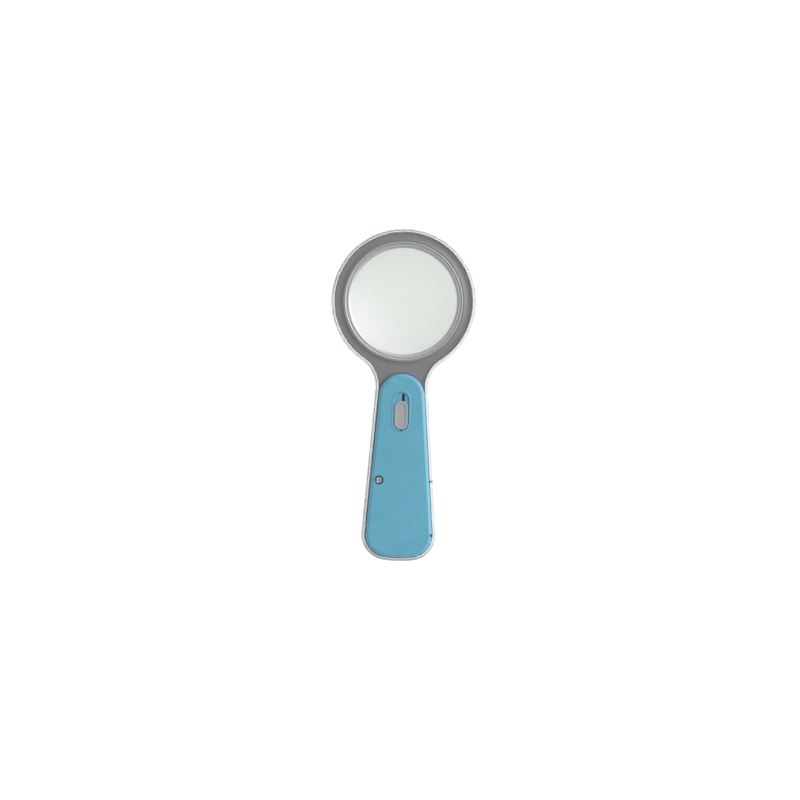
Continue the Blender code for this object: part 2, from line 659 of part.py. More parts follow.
def make_led():
    """LED in the neck, tilted down towards the page under the lens, in a holder ring."""
    tilt = math.radians(15.0)
    radius = 1.5 * MM
    tip_drop = 29.9 * MM
    tip_height = 3.8 * MM
    dome = arc(Vector((0.0, -radius)), radius, math.pi / 2, 0.0, 5)
    profile = [(point.x, point.y) for point in dome]
    profile += [(radius, -4.2 * MM), (1.75 * MM, -4.2 * MM), (1.75 * MM, -5.2 * MM),
                (0.0, -5.2 * MM)]
    led = turned('led', profile, 20, WHITE_PLASTIC)
    collar = [(radius + GAP, -2.2 * MM), (2.7 * MM, -2.2 * MM), (2.7 * MM, -3.8 * MM),
              (radius + GAP, -3.8 * MM)]
    holder = turned('led_holder', collar, 20, BLACK_PLASTIC, closed=True)
    aim = Matrix.Rotation(-(math.pi / 2 + tilt), 4, 'X')
    for obj in (led, holder):
        obj.matrix_world = Matrix.Translation((0.0, y_at(tip_drop), tip_height)) @ aim
        smooth(obj)
    rear_drop = tip_drop + 5.5 * MM * math.cos(tilt)
    rear_height = tip_height + 5.5 * MM * math.sin(tilt)
    for index, x in enumerate((-0.65 * MM, 0.65 * MM)):
        spread = x * 2.6
        route = [Vector((x, y_at(rear_drop), rear_height)),
                 Vector((x, y_at(rear_drop + 1.4 * MM), rear_height + 0.7 * MM)),
                 Vector((spread, y_at(rear_drop + 4.2 * MM), 8.6 * MM)),
                 Vector((spread, y_at(43.0 * MM), 8.2 * MM)),
                 Vector((spread, y_at(43.6 * MM), BOARD_TOP + GAP))]
        wire(f'led_lead_{index + 1}', eased(route), 0.22 * MM, STEEL)


# ---------------------------------------------------------------- power

def make_cell(name, x, start_drop, towards_lens):
    """AAA cell along Y, with its positive button towards the lens or the tail."""
    shoulder = CELL_LENGTH - 0.8 * MM
    profile = [(0.0, CELL_LENGTH), (1.9 * MM, CELL_LENGTH), (1.9 * MM, shoulder),
               (CELL_RADIUS - 0.4 * MM, shoulder), (CELL_RADIUS, shoulder - 0.4 * MM),
               (CELL_RADIUS, 0.4 * MM), (CELL_RADIUS - 0.4 * MM, 0.0), (0.0, 0.0)]
    cell = turned(name, profile, 24, CELL_FOIL)
    turn = -math.pi / 2 if towards_lens else math.pi / 2
    base_drop = start_drop + CELL_LENGTH if towards_lens else start_drop
    place = Matrix.Translation((x, y_at(base_drop), CELL_Z))
    cell.matrix_world = place @ Matrix.Rotation(turn, 4, 'X')
    smooth(cell)


def make_spring(name, x, start_drop, length):
    """Conical coil between a contact plate and a cell's flat end, along Y."""
    turns = 3
    steps = 12
    points = []
    for step in range(turns * steps + 1):
        part = step / (turns * steps)
        angle = 2 * math.pi * turns * part
        radius = (2.6 - 0.9 * part) * MM
        points.append(Vector((x + radius * math.cos(angle),
                              y_at(start_drop + length * part),
                              CELL_Z + radius * math.sin(angle))))
    wire(name, points, 0.22 * MM, STEEL)


def make_power():
    """Cells, springs, contact plates and the two wires to the board."""
    end_gap = GAP + 0.22 * MM
    make_cell('battery_1', CELL_LEFT_X, CELLS_START_DROP + GAP, True)
    make_cell('battery_2', CELL_RIGHT_X, CELLS_END_DROP - GAP - CELL_LENGTH, False)
    spring_space = CELLS_END_DROP - CELLS_START_DROP - GAP - CELL_LENGTH
    spring_length = spring_space - 2 * end_gap
    tail_start = CELLS_END_DROP - end_gap
    make_spring('battery_spring_1', CELL_LEFT_X, tail_start, -spring_length)
    make_spring('battery_spring_2', CELL_RIGHT_X, CELLS_START_DROP + end_gap, spring_length)
    plate_low = FRAME_FLOOR_TOP + GAP
    plate_high = 12.0 * MM
    thickness = 0.4 * MM
    top_drop = CELLS_START_DROP - thickness / 2
    for name, x in (('contact_positive', CELL_LEFT_X), ('contact_negative', CELL_RIGHT_X)):
        box(name, x, top_drop, plate_low, plate_high, 8.0 * MM, thickness, STEEL)
    box('contact_bridge', (CELL_LEFT_X + CELL_RIGHT_X) / 2, CELLS_END_DROP + thickness / 2,
        plate_low, plate_high, 18.6 * MM, thickness, STEEL)
    for name, side, x, material in (('wire_red', -1, CELL_LEFT_X, RED_WIRE),
                                    ('wire_black', 1, CELL_RIGHT_X, BLACK_WIRE)):
        route = [Vector((x, y_at(CELLS_START_DROP - 1.2 * MM), 11.9 * MM)),
                 Vector((x, y_at(CELLS_START_DROP - 3.4 * MM), 11.6 * MM)),
                 Vector((side * 5.6 * MM, y_at(69.4 * MM), 9.6 * MM)),
                 Vector((side * 3.6 * MM, y_at(66.6 * MM), 8.4 * MM)),
                 Vector((side * 3.4 * MM, y_at(65.4 * MM), BOARD_TOP + GAP))]
        wire(name, eased(route, 5), 0.5 * MM, material)


# ---------------------------------------------------------------- fasteners

def make_screw(name, x, drop, head_low, head_radius, head_height, shank_radius, tip):
    """Pan-head screw with a cross recess."""
    top = head_low + head_height
    profile = [(0.0, top), (head_radius * 0.6, top), (head_radius * 0.9, top - head_height * 0.25),
               (head_radius, head_low + head_height * 0.3), (head_radius, head_low),
               (shank_radius, head_low), (shank_radius, tip + shank_radius),
               (shank_radius * 0.4, tip), (0.0, tip)]
    screw = turned(name, profile, 16, STEEL)
    screw.data.transform(Matrix.Translation((x, y_at(drop), 0.0)))
    depth = top - head_height * 0.6
    blades = []
    for width, length in ((0.28, 1.1), (1.1, 0.28)):
        blades.append(box('blade', x, drop, depth, 2 * top, width * head_radius,
                          length * head_radius))
    combine(screw, blades, 'DIFFERENCE')
    smooth(screw)


def make_fasteners():
    """Cover screw, and the screws under the cover."""
    make_screw('cover_screw', SCREW_X, SCREW_DROP, SCREW_SHOULDER + GAP, 1.95 * MM, 1.2 * MM,
               1.0 * MM, 5.6 * MM)
    for index, (x, drop) in enumerate(FRAME_SCREWS):
        make_screw(f'frame_screw_{index + 1}', x, drop, SLEEVE_TOP + GAP, 1.9 * MM, 1.3 * MM,
                   0.9 * MM, 2.4 * MM)


# ---------------------------------------------------------------- moving groups

def move_origin(name, point):
    """Give an object its origin at a point, without moving its shape."""
    obj = bpy.data.objects[name]
    obj.data.transform(Matrix.Translation(-point))
    obj.location = point


def group(name, point, members, parent=None):
    """Empty at a point that carries the members, and may hang on another empty."""
    empty = bpy.data.objects.new(name, None)
    PARTS.objects.link(empty)
    empty.location = point - (parent.location if parent else Vector())
    empty.parent = parent
    bpy.context.view_layer.update()
    for member in members:
        obj = bpy.data.objects[member]
        obj.parent = empty
        obj.matrix_parent_inverse = empty.matrix_world.inverted()
    return empty


def make_groups():
    """Cover that lifts off along Z, the button that slides in it, the lever that follows."""
    cover_seat = Vector((0.0, y_at(BUTTON_DROP), COVER_BOTTOM))
    button_seat = Vector((0.0, y_at(STEM_DROP), RECESS_FLOOR))
    lever_seat = Vector((0.0, y_at(STEM_DROP), CAN_TOP))
    move_origin('handle_cover', cover_seat)
    move_origin('switch_button', button_seat)
    move_origin('switch_lever', lever_seat)
    lift = group('cover_lift', cover_seat, ['handle_cover', 'cover_screw'])
    group('button_slide', button_seat, ['switch_button', 'switch_slider'], lift)
    group('lever_slide', lever_seat, ['switch_lever'])


for leftover in list(bpy.data.objects):
    bpy.data.objects.remove(leftover)
PARTS = bpy.data.collections.new('low_vision_magnifier')
bpy.context.scene.collection.children.link(PARTS)

CLEAR_PLASTIC = paint('clear_plastic', (0.85, 0.93, 0.96), 0.06, transmission=0.9)
GREY_PLASTIC = paint('grey_plastic', (0.22, 0.23, 0.25), 0.45)
BLUE_PLASTIC = paint('blue_plastic', (0.13, 0.40, 0.55), 0.38)
BUTTON_PLASTIC = paint('button_plastic', (0.36, 0.36, 0.39), 0.45)
BEZEL_PLASTIC = paint('bezel_plastic', (0.42, 0.43, 0.43), 0.30)
LENS_GLASS = paint('lens_glass', (0.90, 0.96, 0.91), 0.02, transmission=1.0)
RUBBER = paint('rubber', (0.03, 0.03, 0.03), 0.80)
BLACK_PLASTIC = paint('black_plastic', (0.03, 0.03, 0.035), 0.50)
WHITE_PLASTIC = paint('white_plastic', (0.80, 0.81, 0.80), 0.35)
STEEL = paint('steel', (0.62, 0.63, 0.65), 0.28, metallic=1.0)
BRASS = paint('brass', (0.72, 0.52, 0.24), 0.30, metallic=1.0)
BOARD_GREEN = paint('board_green', (0.03, 0.22, 0.10), 0.40)
CELL_FOIL = paint('cell_foil', (0.12, 0.13, 0.15), 0.35)
RED_WIRE = paint('red_wire', (0.55, 0.03, 0.03), 0.45)
BLACK_WIRE = paint('black_wire', (0.02, 0.02, 0.02), 0.45)

make_rear_shell()
make_front_frame()
make_handle_cover()
make_lens()
make_lens_gasket()
make_lens_retainer()
make_switch_button()
make_switch_slider()
make_switch()
make_circuit_board()
make_led()
make_power()
make_fasteners()
make_groups()
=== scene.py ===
"""Looks of the hand-held low vision magnifier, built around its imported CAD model.

The magnifier lies on its back: +Z is the front, +Y points from the handle to the lens.
"Drop" is a distance from the lens centre towards the end of the handle.
"""
import json
import math

import bmesh
import bpy
from mathutils import Matrix, Vector


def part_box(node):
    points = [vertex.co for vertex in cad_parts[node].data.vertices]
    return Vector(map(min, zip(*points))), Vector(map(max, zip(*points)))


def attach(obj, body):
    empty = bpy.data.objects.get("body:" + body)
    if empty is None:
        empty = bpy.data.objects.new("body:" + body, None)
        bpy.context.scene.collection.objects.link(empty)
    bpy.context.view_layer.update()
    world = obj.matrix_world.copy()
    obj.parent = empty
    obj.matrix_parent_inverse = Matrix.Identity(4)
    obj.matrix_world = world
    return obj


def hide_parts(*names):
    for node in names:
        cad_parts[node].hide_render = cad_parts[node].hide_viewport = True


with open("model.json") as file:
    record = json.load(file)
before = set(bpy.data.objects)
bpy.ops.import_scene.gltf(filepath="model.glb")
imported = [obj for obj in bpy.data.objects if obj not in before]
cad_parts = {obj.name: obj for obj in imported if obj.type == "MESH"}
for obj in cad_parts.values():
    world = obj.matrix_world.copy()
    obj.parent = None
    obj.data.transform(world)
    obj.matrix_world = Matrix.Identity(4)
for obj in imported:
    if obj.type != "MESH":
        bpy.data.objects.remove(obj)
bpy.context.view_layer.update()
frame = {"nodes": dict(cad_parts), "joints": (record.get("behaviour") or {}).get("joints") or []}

MM = 0.001
GAP = 0.3 * MM
SAME_PLACE = 1e-6


def centre_of(node):
    """Middle of a CAD node's box."""
    low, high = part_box(node)
    return (low + high) / 2


def size_of(node):
    """Extent of a CAD node's box."""
    low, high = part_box(node)
    return high - low


# Places and heights that the frame gives
LENS_Y = centre_of("lens").y
TAIL_DROP = LENS_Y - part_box("rear_shell")[0].y
SHELL_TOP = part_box("rear_shell")[1].z
FRAME_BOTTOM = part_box("front_frame")[0].z
COVER_BOTTOM, COVER_TOP = (corner.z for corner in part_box("handle_cover"))
COVER_TOP_DROP = LENS_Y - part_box("handle_cover")[1].y
BUTTON_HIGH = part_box("switch_button")[1].z
BUTTON_DROP = LENS_Y - centre_of("switch_button").y
BUTTON_WIDTH, BUTTON_LENGTH = size_of("switch_button").xy
TRAVEL = next(joint["range_m"][1] for joint in frame["joints"] if joint["name"] == "button_slide")
STEM_DROP = LENS_Y - centre_of("switch_slider").y + TRAVEL / 2
SCREW_X = centre_of("cover_screw").x
SCREW_DROP = LENS_Y - centre_of("cover_screw").y
FRAME_SCREWS = [centre_of(f"frame_screw_{index}") for index in (1, 2, 3)]

# Plan of the body
HEAD_RADIUS = 37.05 * MM
NECK_FILLET = 15.9 * MM
SIDE_ANGLE = math.radians(4.35)
SIDE_DROP = 50.0 * MM
SIDE_HALF_WIDTH = 13.85 * MM
CORNER_RADIUS = 13.3 * MM
CROWN_RADIUS = 60.0 * MM
SHELL_WALL = 1.7 * MM
FRAME_INSET = SHELL_WALL + 0.12 * MM
FRAME_WALL = 0.85 * MM
COVER_INSET = 2.15 * MM

# Heights of the grey frame, and its turned features
FRAME_TOP = 13.0 * MM
FRAME_LEDGE = 12.0 * MM
FRAME_FLOOR_TOP = 3.0 * MM
LIP_RISE = 0.9 * MM
BARREL_RADIUS = 30.0 * MM

# Features that more than one piece shares
STEM_X = 1.0 * MM
CATCH_DROP = 92.0 * MM
SCREW_HOLE_RADIUS = 1.2 * MM

# Fineness of the round shapes
RING_STEPS = 144
ROUND_END_STEPS = 24


def y_at(drop):
    """World Y of a distance below the lens centre."""
    return LENS_Y - drop


# ---------------------------------------------------------------- plan outlines

def arc(centre, radius, start, end, steps):
    """Points of an arc, both ends included."""
    points = []
    for step in range(steps + 1):
        angle = start + (end - start) * step / steps
        points.append(centre + Vector((radius * math.cos(angle), radius * math.sin(angle))))
    return points


def mirrored(right_half):
    """Close a right half, given top to bottom on the axis at both ends, with its mirror image."""
    left_half = [Vector((-point.x, point.y)) for point in reversed(right_half[1:-1])]
    return right_half + left_half


def side_at(drop):
    """Distance of the body's side line from its axis."""
    return SIDE_HALF_WIDTH + math.tan(SIDE_ANGLE) * (drop - SIDE_DROP)


def side_point(shift, from_drop, distance):
    """Point on the side line moved outwards by shift, at a distance from the axis at from_drop."""
    slope = math.tan(SIDE_ANGLE)
    start = side_at(from_drop) + shift / math.cos(SIDE_ANGLE)
    square = 1.0 + slope ** 2
    cross = start * slope
    fall = (math.sqrt(cross ** 2 - square * (start ** 2 - distance ** 2)) - cross) / square
    return Vector((start + slope * fall, y_at(from_drop + fall)))


def tail_half(inset):
    """Right side below the neck: the corner arc, then the crowned end."""
    crown_drop = TAIL_DROP - CROWN_RADIUS
    crown = Vector((0.0, y_at(crown_drop)))
    corner = side_point(-CORNER_RADIUS, crown_drop, CROWN_RADIUS - CORNER_RADIUS)
    turn = math.atan2(corner.y - crown.y, corner.x)
    points = arc(corner, CORNER_RADIUS - inset, SIDE_ANGLE, turn, 24)
    return points + arc(crown, CROWN_RADIUS - inset, turn, -math.pi / 2, 5)[1:]


def body_outline(inset):
    """Outline of the whole body, moved inwards by inset: head circle, neck, tapered handle."""
    head = Vector((0.0, LENS_Y))
    neck = side_point(NECK_FILLET, 0.0, HEAD_RADIUS + NECK_FILLET)
    turn = math.atan2(neck.y - head.y, neck.x)
    right = arc(head, HEAD_RADIUS - inset, math.pi / 2, turn, 64)
    right += arc(neck, NECK_FILLET + inset, turn + math.pi, SIDE_ANGLE + math.pi, 18)[1:]
    return mirrored(right + tail_half(inset))


def cover_outline(inset):
    """Outline of the handle cover: a round top that runs into the body's side lines."""
    half_width = side_at(COVER_TOP_DROP) * math.cos(SIDE_ANGLE)
    radius = (half_width - COVER_INSET) / (1.0 - math.sin(SIDE_ANGLE))
    centre = Vector((0.0, y_at(COVER_TOP_DROP + radius)))
    right = arc(centre, radius + COVER_INSET - inset, math.pi / 2, SIDE_ANGLE, 32)
    return mirrored(right + tail_half(inset))


def stadium(width, length, drop, x=0.0):
    """Outline along Y with straight sides and round ends."""
    radius = width / 2
    reach = length / 2 - radius
    top = arc(Vector((x, y_at(drop) + reach)), radius, math.pi, 0.0, ROUND_END_STEPS)
    return top + arc(Vector((x, y_at(drop) - reach)), radius, 0.0, -math.pi, ROUND_END_STEPS)


def stadium_sections(width, length, drop, profile):
    """Stadiums grown outwards at heights, for a profile of (growth, height) points."""
    return [(stadium(width + 2 * grow, length + 2 * grow, drop), height)
            for grow, height in profile]


# ---------------------------------------------------------------- mesh building

def link(name, mesh):
    """Put a mesh in the scene as a named object."""
    obj = bpy.data.objects.new(name, mesh)
    bpy.context.scene.collection.objects.link(obj)
    return obj


def from_bmesh(name, bm):
    """Turn a bmesh into a named object."""
    mesh = bpy.data.meshes.new(name)
    bm.to_mesh(mesh)
    bm.free()
    return link(name, mesh)


def evaluated_mesh(obj):
    """The object's mesh with its modifiers or curve settings worked out."""
    bpy.context.view_layer.update()
    graph = bpy.context.evaluated_depsgraph_get()
    return bpy.data.meshes.new_from_object(obj.evaluated_get(graph))


def settle(obj):
    """Make the object's modifiers part of its mesh."""
    mesh = evaluated_mesh(obj)
    obj.modifiers.clear()
    obj.data = mesh


def curve_mesh(curve):
    """The mesh that a curve makes."""
    guide = bpy.data.objects.new(curve.name, curve)
    bpy.context.scene.collection.objects.link(guide)
    mesh = evaluated_mesh(guide)
    bpy.data.objects.remove(guide)
    return mesh


def weld(obj, distance=SAME_PLACE):
    """Join points that lie on each other and turn the faces outwards."""
    bm = bmesh.new()
    bm.from_mesh(obj.data)
    bmesh.ops.remove_doubles(bm, verts=bm.verts, dist=distance)
    bmesh.ops.recalc_face_normals(bm, faces=bm.faces)
    bm.to_mesh(obj.data)
    bm.free()


def slab(name, outline, low, high):
    """Flat outline given a thickness between two heights."""
    curve = bpy.data.curves.new(name, "CURVE")
    curve.dimensions = "2D"
    curve.fill_mode = "BOTH"
    curve.extrude = (high - low) / 2
    spline = curve.splines.new("POLY")
    spline.points.add(len(outline) - 1)
    for point, place in zip(spline.points, outline):
        point.co = (place.x, place.y, 0.0, 1.0)
    spline.use_cyclic_u = True
    mesh = curve_mesh(curve)
    mesh.transform(Matrix.Translation((0.0, 0.0, (low + high) / 2)))
    obj = link(name, mesh)
    weld(obj)
    return obj


def lofted(name, sections):
    """Closed solid through outlines with the same number of points, as (outline, height)."""
    bm = bmesh.new()
    rings = [[bm.verts.new((point.x, point.y, height)) for point in outline]
             for outline, height in sections]
    for lower, upper in zip(rings, rings[1:]):
        for index in range(len(lower)):
            after = (index + 1) % len(lower)
            bm.faces.new((lower[index], lower[after], upper[after], upper[index]))
    bm.faces.new(rings[0])
    bm.faces.new(rings[-1])
    bmesh.ops.recalc_face_normals(bm, faces=bm.faces)
    return from_bmesh(name, bm)


def quarter_turn(steps):
    """Angles from nothing to a right angle."""
    return [math.pi / 2 * step / steps for step in range(steps + 1)]


def lip_profile(radius, top, steps=6):
    """How far a rounded mouth has opened, and at what height, from below up to a level top."""
    return [(radius * (1.0 - math.cos(angle)), top - radius * (1.0 - math.sin(angle)))
            for angle in quarter_turn(steps)]


def block(name, x, drop, low, high, width, length):
    """Box centred at x and drop, between two heights."""
    bm = bmesh.new()
    bmesh.ops.create_cube(bm, size=1.0)
    bmesh.ops.scale(bm, verts=bm.verts, vec=(width, length, high - low))
    bmesh.ops.translate(bm, verts=bm.verts, vec=(x, y_at(drop), (low + high) / 2))
    return from_bmesh(name, bm)


def cylinder(name, x, drop, low, high, radius, segments=48):
    """Upright cylinder at x and drop, between two heights."""
    bm = bmesh.new()
    bmesh.ops.create_cone(bm, cap_ends=True, segments=segments, radius1=radius,
                          radius2=radius, depth=high - low)
    bmesh.ops.translate(bm, verts=bm.verts, vec=(x, y_at(drop), (low + high) / 2))
    return from_bmesh(name, bm)


def turned(name, profile, steps, axis=(0.0, 0.0), closed=False):
    """Turn a profile of (radius, height) points about an upright axis."""
    mesh = bpy.data.meshes.new(name)
    points = [(radius, 0.0, height) for radius, height in profile]
    edges = [(index, index + 1) for index in range(len(points) - 1)]
    if closed:
        edges.append((len(points) - 1, 0))
    mesh.from_pydata(points, edges, [])
    obj = link(name, mesh)
    screw = obj.modifiers.new("Turn", "SCREW")
    screw.steps = steps
    screw.render_steps = steps
    screw.use_merge_vertices = True
    screw.merge_threshold = SAME_PLACE
    settle(obj)
    weld(obj, SAME_PLACE / 10)
    obj.data.transform(Matrix.Translation((*axis, 0.0)))
    return obj


def combine(body, tools, operation):
    """Join ("UNION") or cut ("DIFFERENCE") a list of tools, which are then removed."""
    for tool in tools:
        boolean = body.modifiers.new(tool.name, "BOOLEAN")
        boolean.operation = operation
        boolean.solver = "EXACT"
        boolean.object = tool
    settle(body)
    for tool in tools:
        bpy.data.objects.remove(tool)


def round_level(obj, height, radius, segments):
    """Round the sharp edges that lie at one height."""
    bm = bmesh.new()
    bm.from_mesh(obj.data)
    edges = []
    for edge in bm.edges:
        level = all(abs(vert.co.z - height) < SAME_PLACE for vert in edge.verts)
        if level and edge.is_manifold and edge.calc_face_angle() > math.radians(40):
            edges.append(edge)
    bmesh.ops.bevel(bm, geom=edges, offset=radius, segments=segments, profile=0.5,
                    affect="EDGES", clamp_overlap=False)
    bm.to_mesh(obj.data)
    bm.free()


def soften(obj, radius, segments=2):
    """Round every sharp edge of a simple piece."""
    bevel = obj.modifiers.new("Round", "BEVEL")
    bevel.width = radius
    bevel.segments = segments
    bevel.limit_method = "ANGLE"
    bevel.angle_limit = math.radians(35)
    settle(obj)


def smooth(obj, degrees=30):
    """Shade smooth except across sharp corners, and keep level faces level right to their edges."""
    mesh = obj.data
    mesh.shade_smooth()
    mesh.set_sharp_from_angle(angle=math.radians(degrees))
    level = {}
    for face in mesh.polygons:
        if abs(face.normal.z) > 0.99999:
            for vertex in face.vertices:
                level.setdefault(vertex, []).append(face.normal.copy())
    normals = [corner.vector.copy() for corner in mesh.corner_normals]
    for index, loop in enumerate(mesh.loops):
        for normal in level.get(loop.vertex_index, ()):
            if normals[index].angle(normal, 0.0) < math.radians(degrees):
                normals[index] = normal
    mesh.normals_split_custom_set(normals)


def present(obj, material, slot, body, *nodes):
    """Give a piece its material and its place in the model."""
    obj.data.materials.clear()
    obj.data.materials.append(material)
    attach(obj, body)
    if nodes:
        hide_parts(*nodes)


# ---------------------------------------------------------------- materials

class Finish:
    """A material with one Principled shader and short ways to feed it."""

    def __init__(self, name, **constants):
        self.material = bpy.data.materials.new(name)
        self.material.use_nodes = True
        self.nodes = self.material.node_tree.nodes
        self.links = self.material.node_tree.links
        self.shader = self.nodes["Principled BSDF"]
        self.place = self.nodes.new("ShaderNodeTexCoord").outputs["Object"]
        for key, value in constants.items():
            socket = key.replace("_", " ").title().replace("Ior", "IOR")
            self.shader.inputs[socket].default_value = value

    def axes(self):
        """The place on the piece as separate X, Y and Z outputs."""
        node = self.nodes.new("ShaderNodeSeparateXYZ")
        self.links.new(self.place, node.inputs["Vector"])
        return node.outputs

    def noise(self, scale, detail=3.0, roughness=0.5, place=None):
        """Noise in metres: scale is how many lumps fit in a metre."""
        node = self.nodes.new("ShaderNodeTexNoise")
        node.inputs["Scale"].default_value = scale
        node.inputs["Detail"].default_value = detail
        node.inputs["Roughness"].default_value = roughness
        self.links.new(place or self.place, node.inputs["Vector"])
        return node.outputs["Fac"]

    def stretched_noise(self, stretch, scale, detail=3.0):
        """Noise drawn out along an axis, as brushing or rolling leaves it."""
        mapping = self.nodes.new("ShaderNodeMapping")
        mapping.inputs["Scale"].default_value = stretch
        self.links.new(self.place, mapping.inputs["Vector"])
        return self.noise(scale, detail, place=mapping.outputs["Vector"])

    def spread(self, source, low, high, start=0.3, end=0.7):
        """Map a texture's range onto low to high."""
        node = self.nodes.new("ShaderNodeMapRange")
        for key, value in (("From Min", start), ("From Max", end), ("To Min", low),
                           ("To Max", high)):
            node.inputs[key].default_value = value
        self.links.new(source, node.inputs["Value"])
        return node.outputs["Result"]

    def mix(self, factor, first, second):
        """Blend two colours; each is a colour or another node's output."""
        node = self.nodes.new("ShaderNodeMix")
        node.data_type = "RGBA"
        self.links.new(factor, node.inputs["Factor"])
        for key, value in (("A", first), ("B", second)):
            socket = [item for item in node.inputs if item.name == key and item.type == "RGBA"][0]
            if isinstance(value, tuple):
                socket.default_value = (*value, 1.0)
            else:
                self.links.new(value, socket)
        return [item for item in node.outputs if item.type == "RGBA"][0]

    def bump(self, source, distance, strength):
        """Raise the surface by a texture."""
        node = self.nodes.new("ShaderNodeBump")
        node.inputs["Strength"].default_value = strength
        node.inputs["Distance"].default_value = distance
        self.links.new(source, node.inputs["Height"])
        self.links.new(node.outputs["Normal"], self.shader.inputs["Normal"])

    def feed(self, socket, source):
        """Drive one of the shader's sockets."""
        self.links.new(source, self.shader.inputs[socket])


def scaled(colour, factor):
    """A colour made lighter or darker."""
    return tuple(channel * factor for channel in colour)


def moulded_plastic(name, colour, roughness, shine=0.04, sheen=0.0, metallic=0.0):
    """Spark-eroded moulded plastic: fine grain, faint flow marks and rubbed patches."""
    tone = 0.05
    finish = Finish(name, coat_weight=shine, coat_roughness=0.2, ior=1.5, sheen_weight=sheen,
                    sheen_roughness=0.3, metallic=metallic)
    flow = finish.noise(55.0, 4.0)
    speckle = finish.noise(5200.0, 2.0)
    mottle = finish.noise(1100.0, 3.0)
    body = finish.mix(finish.spread(flow, 0.0, 1.0), scaled(colour, 1.0 - tone),
                      scaled(colour, 1.0 + tone))
    body = finish.mix(finish.spread(mottle, 0.0, 3.0 * tone, 0.35, 0.65), body,
                      scaled(colour, 0.45))
    rubbed = finish.spread(finish.noise(130.0, 6.0, 0.7), 0.0, 1.0, 0.56, 0.74)
    finish.feed("Base Color", finish.mix(rubbed, body, scaled(colour, 1.0 + 1.6 * tone)))
    finish.feed("Roughness", finish.spread(speckle, roughness - 0.05, roughness + 0.07))
    finish.bump(finish.noise(3800.0, 3.0), 0.012 * MM, 0.5)
    return finish.material


def clear_plastic():
    """Clear acrylic with faint handling marks in its polish."""
    finish = Finish("clear_acrylic", base_color=(0.90, 0.94, 0.955, 1.0),
                    transmission_weight=0.74, ior=1.49)
    marks = finish.stretched_noise((6.0, 90.0, 90.0), 30.0, 4.0)
    finish.feed("Roughness", finish.spread(marks, 0.0, 0.05, 0.45, 0.8))
    finish.bump(finish.noise(160.0, 2.0), 0.02 * MM, 0.2)
    return finish.material


def lens_glass():
    """Polished lens whose colour turns from green to a faint violet across it: painted shade,
    darker and greener towards the upper right.
    """
    violet, green = (0.815, 0.805, 0.825), (0.75, 0.785, 0.75)
    finish = Finish("lens_acrylic", transmission_weight=1.0, roughness=0.0, ior=1.5,
                    specular_ior_level=0.35)
    across = finish.nodes.new("ShaderNodeMath")
    across.operation = "ADD"
    axes = finish.axes()
    for name, socket in zip("XY", across.inputs):
        finish.links.new(axes[name], socket)
    radius = size_of("lens").x / 2
    # Painted shade across the lens: darker and greener towards the upper right, lighter and faintly
    # violet towards the lower left.
    painted_shading = finish.spread(across.outputs["Value"], 0.0, 1.0, LENS_Y - 1.3 * radius,
                         LENS_Y - 0.3 * radius)
    finish.feed("Base Color", finish.mix(painted_shading, violet, green))
    return finish.material


def plated_steel(name, shade):
    """Plated steel with fine drawing lines and small stains, made darker by a factor; the darker
    copy for the screws is painted shade.
    """
    stained, bright = (0.55, 0.56, 0.58), (0.72, 0.72, 0.71)
    finish = Finish(name, metallic=1.0)
    stain = finish.noise(700.0, 4.0)
    lines = finish.stretched_noise((1.0, 40.0, 40.0), 500.0)
    finish.feed("Base Color", finish.mix(finish.spread(stain, 0.0, 1.0),
                                         scaled(stained, shade), scaled(bright, shade)))
    finish.feed("Roughness", finish.spread(lines, 0.18, 0.36))
    finish.bump(lines, 0.004 * MM, 0.4)
    return finish.material


def brass():
    """Dull brass with darker tarnish."""
    tarnished, bright = (0.47, 0.33, 0.13), (0.66, 0.50, 0.22)
    finish = Finish("brass", metallic=1.0)
    tarnish = finish.noise(900.0, 4.0)
    finish.feed("Base Color", finish.mix(finish.spread(tarnish, 0.0, 1.0), tarnished, bright))
    finish.feed("Roughness", finish.spread(tarnish, 0.22, 0.42))
    finish.bump(tarnish, 0.006 * MM, 0.4)
    return finish.material


def cell_wrap(length):
    """Printed film on a cell: dark body, pale end band and a thin stripe, fine scuffs."""
    dark_body, stripe, pale_band = (0.045, 0.05, 0.06), (0.62, 0.30, 0.06), (0.60, 0.61, 0.62)
    scuffed = (0.7, 0.7, 0.7)
    finish = Finish("cell_wrap", coat_weight=0.5, coat_roughness=0.12, ior=1.5)
    bands = finish.nodes.new("ShaderNodeValToRGB")
    bands.color_ramp.interpolation = "CONSTANT"
    for index, (part, colour) in enumerate(((0.0, dark_body), (0.72, stripe), (0.75, pale_band))):
        ramp = bands.color_ramp.elements
        stop = ramp[index] if index < len(ramp) else ramp.new(part)
        stop.position = part
        stop.color = (*colour, 1.0)
    finish.links.new(finish.spread(finish.axes()["Z"], 0.0, 1.0, 0.0, length),
                     bands.inputs["Fac"])
    scuffs = finish.stretched_noise((60.0, 60.0, 4.0), 40.0, 4.0)
    finish.feed("Base Color", finish.mix(finish.spread(scuffs, 0.0, 0.12, 0.5, 0.8),
                                         bands.outputs["Color"], scuffed))
    finish.feed("Roughness", finish.spread(scuffs, 0.22, 0.45))
    finish.bump(finish.noise(1500.0, 2.0), 0.01 * MM, 0.3)
    return finish.material


def epoxy():
    """Clear lamp resin with a slight haze."""
    hazy, clear = (0.86, 0.88, 0.86), (0.95, 0.96, 0.93)
    finish = Finish("lamp_epoxy", transmission_weight=0.85, ior=1.54)
    haze = finish.noise(1200.0, 3.0)
    finish.feed("Base Color", finish.mix(finish.spread(haze, 0.0, 1.0), hazy, clear))
    finish.feed("Roughness", finish.spread(haze, 0.03, 0.12))
    return finish.material


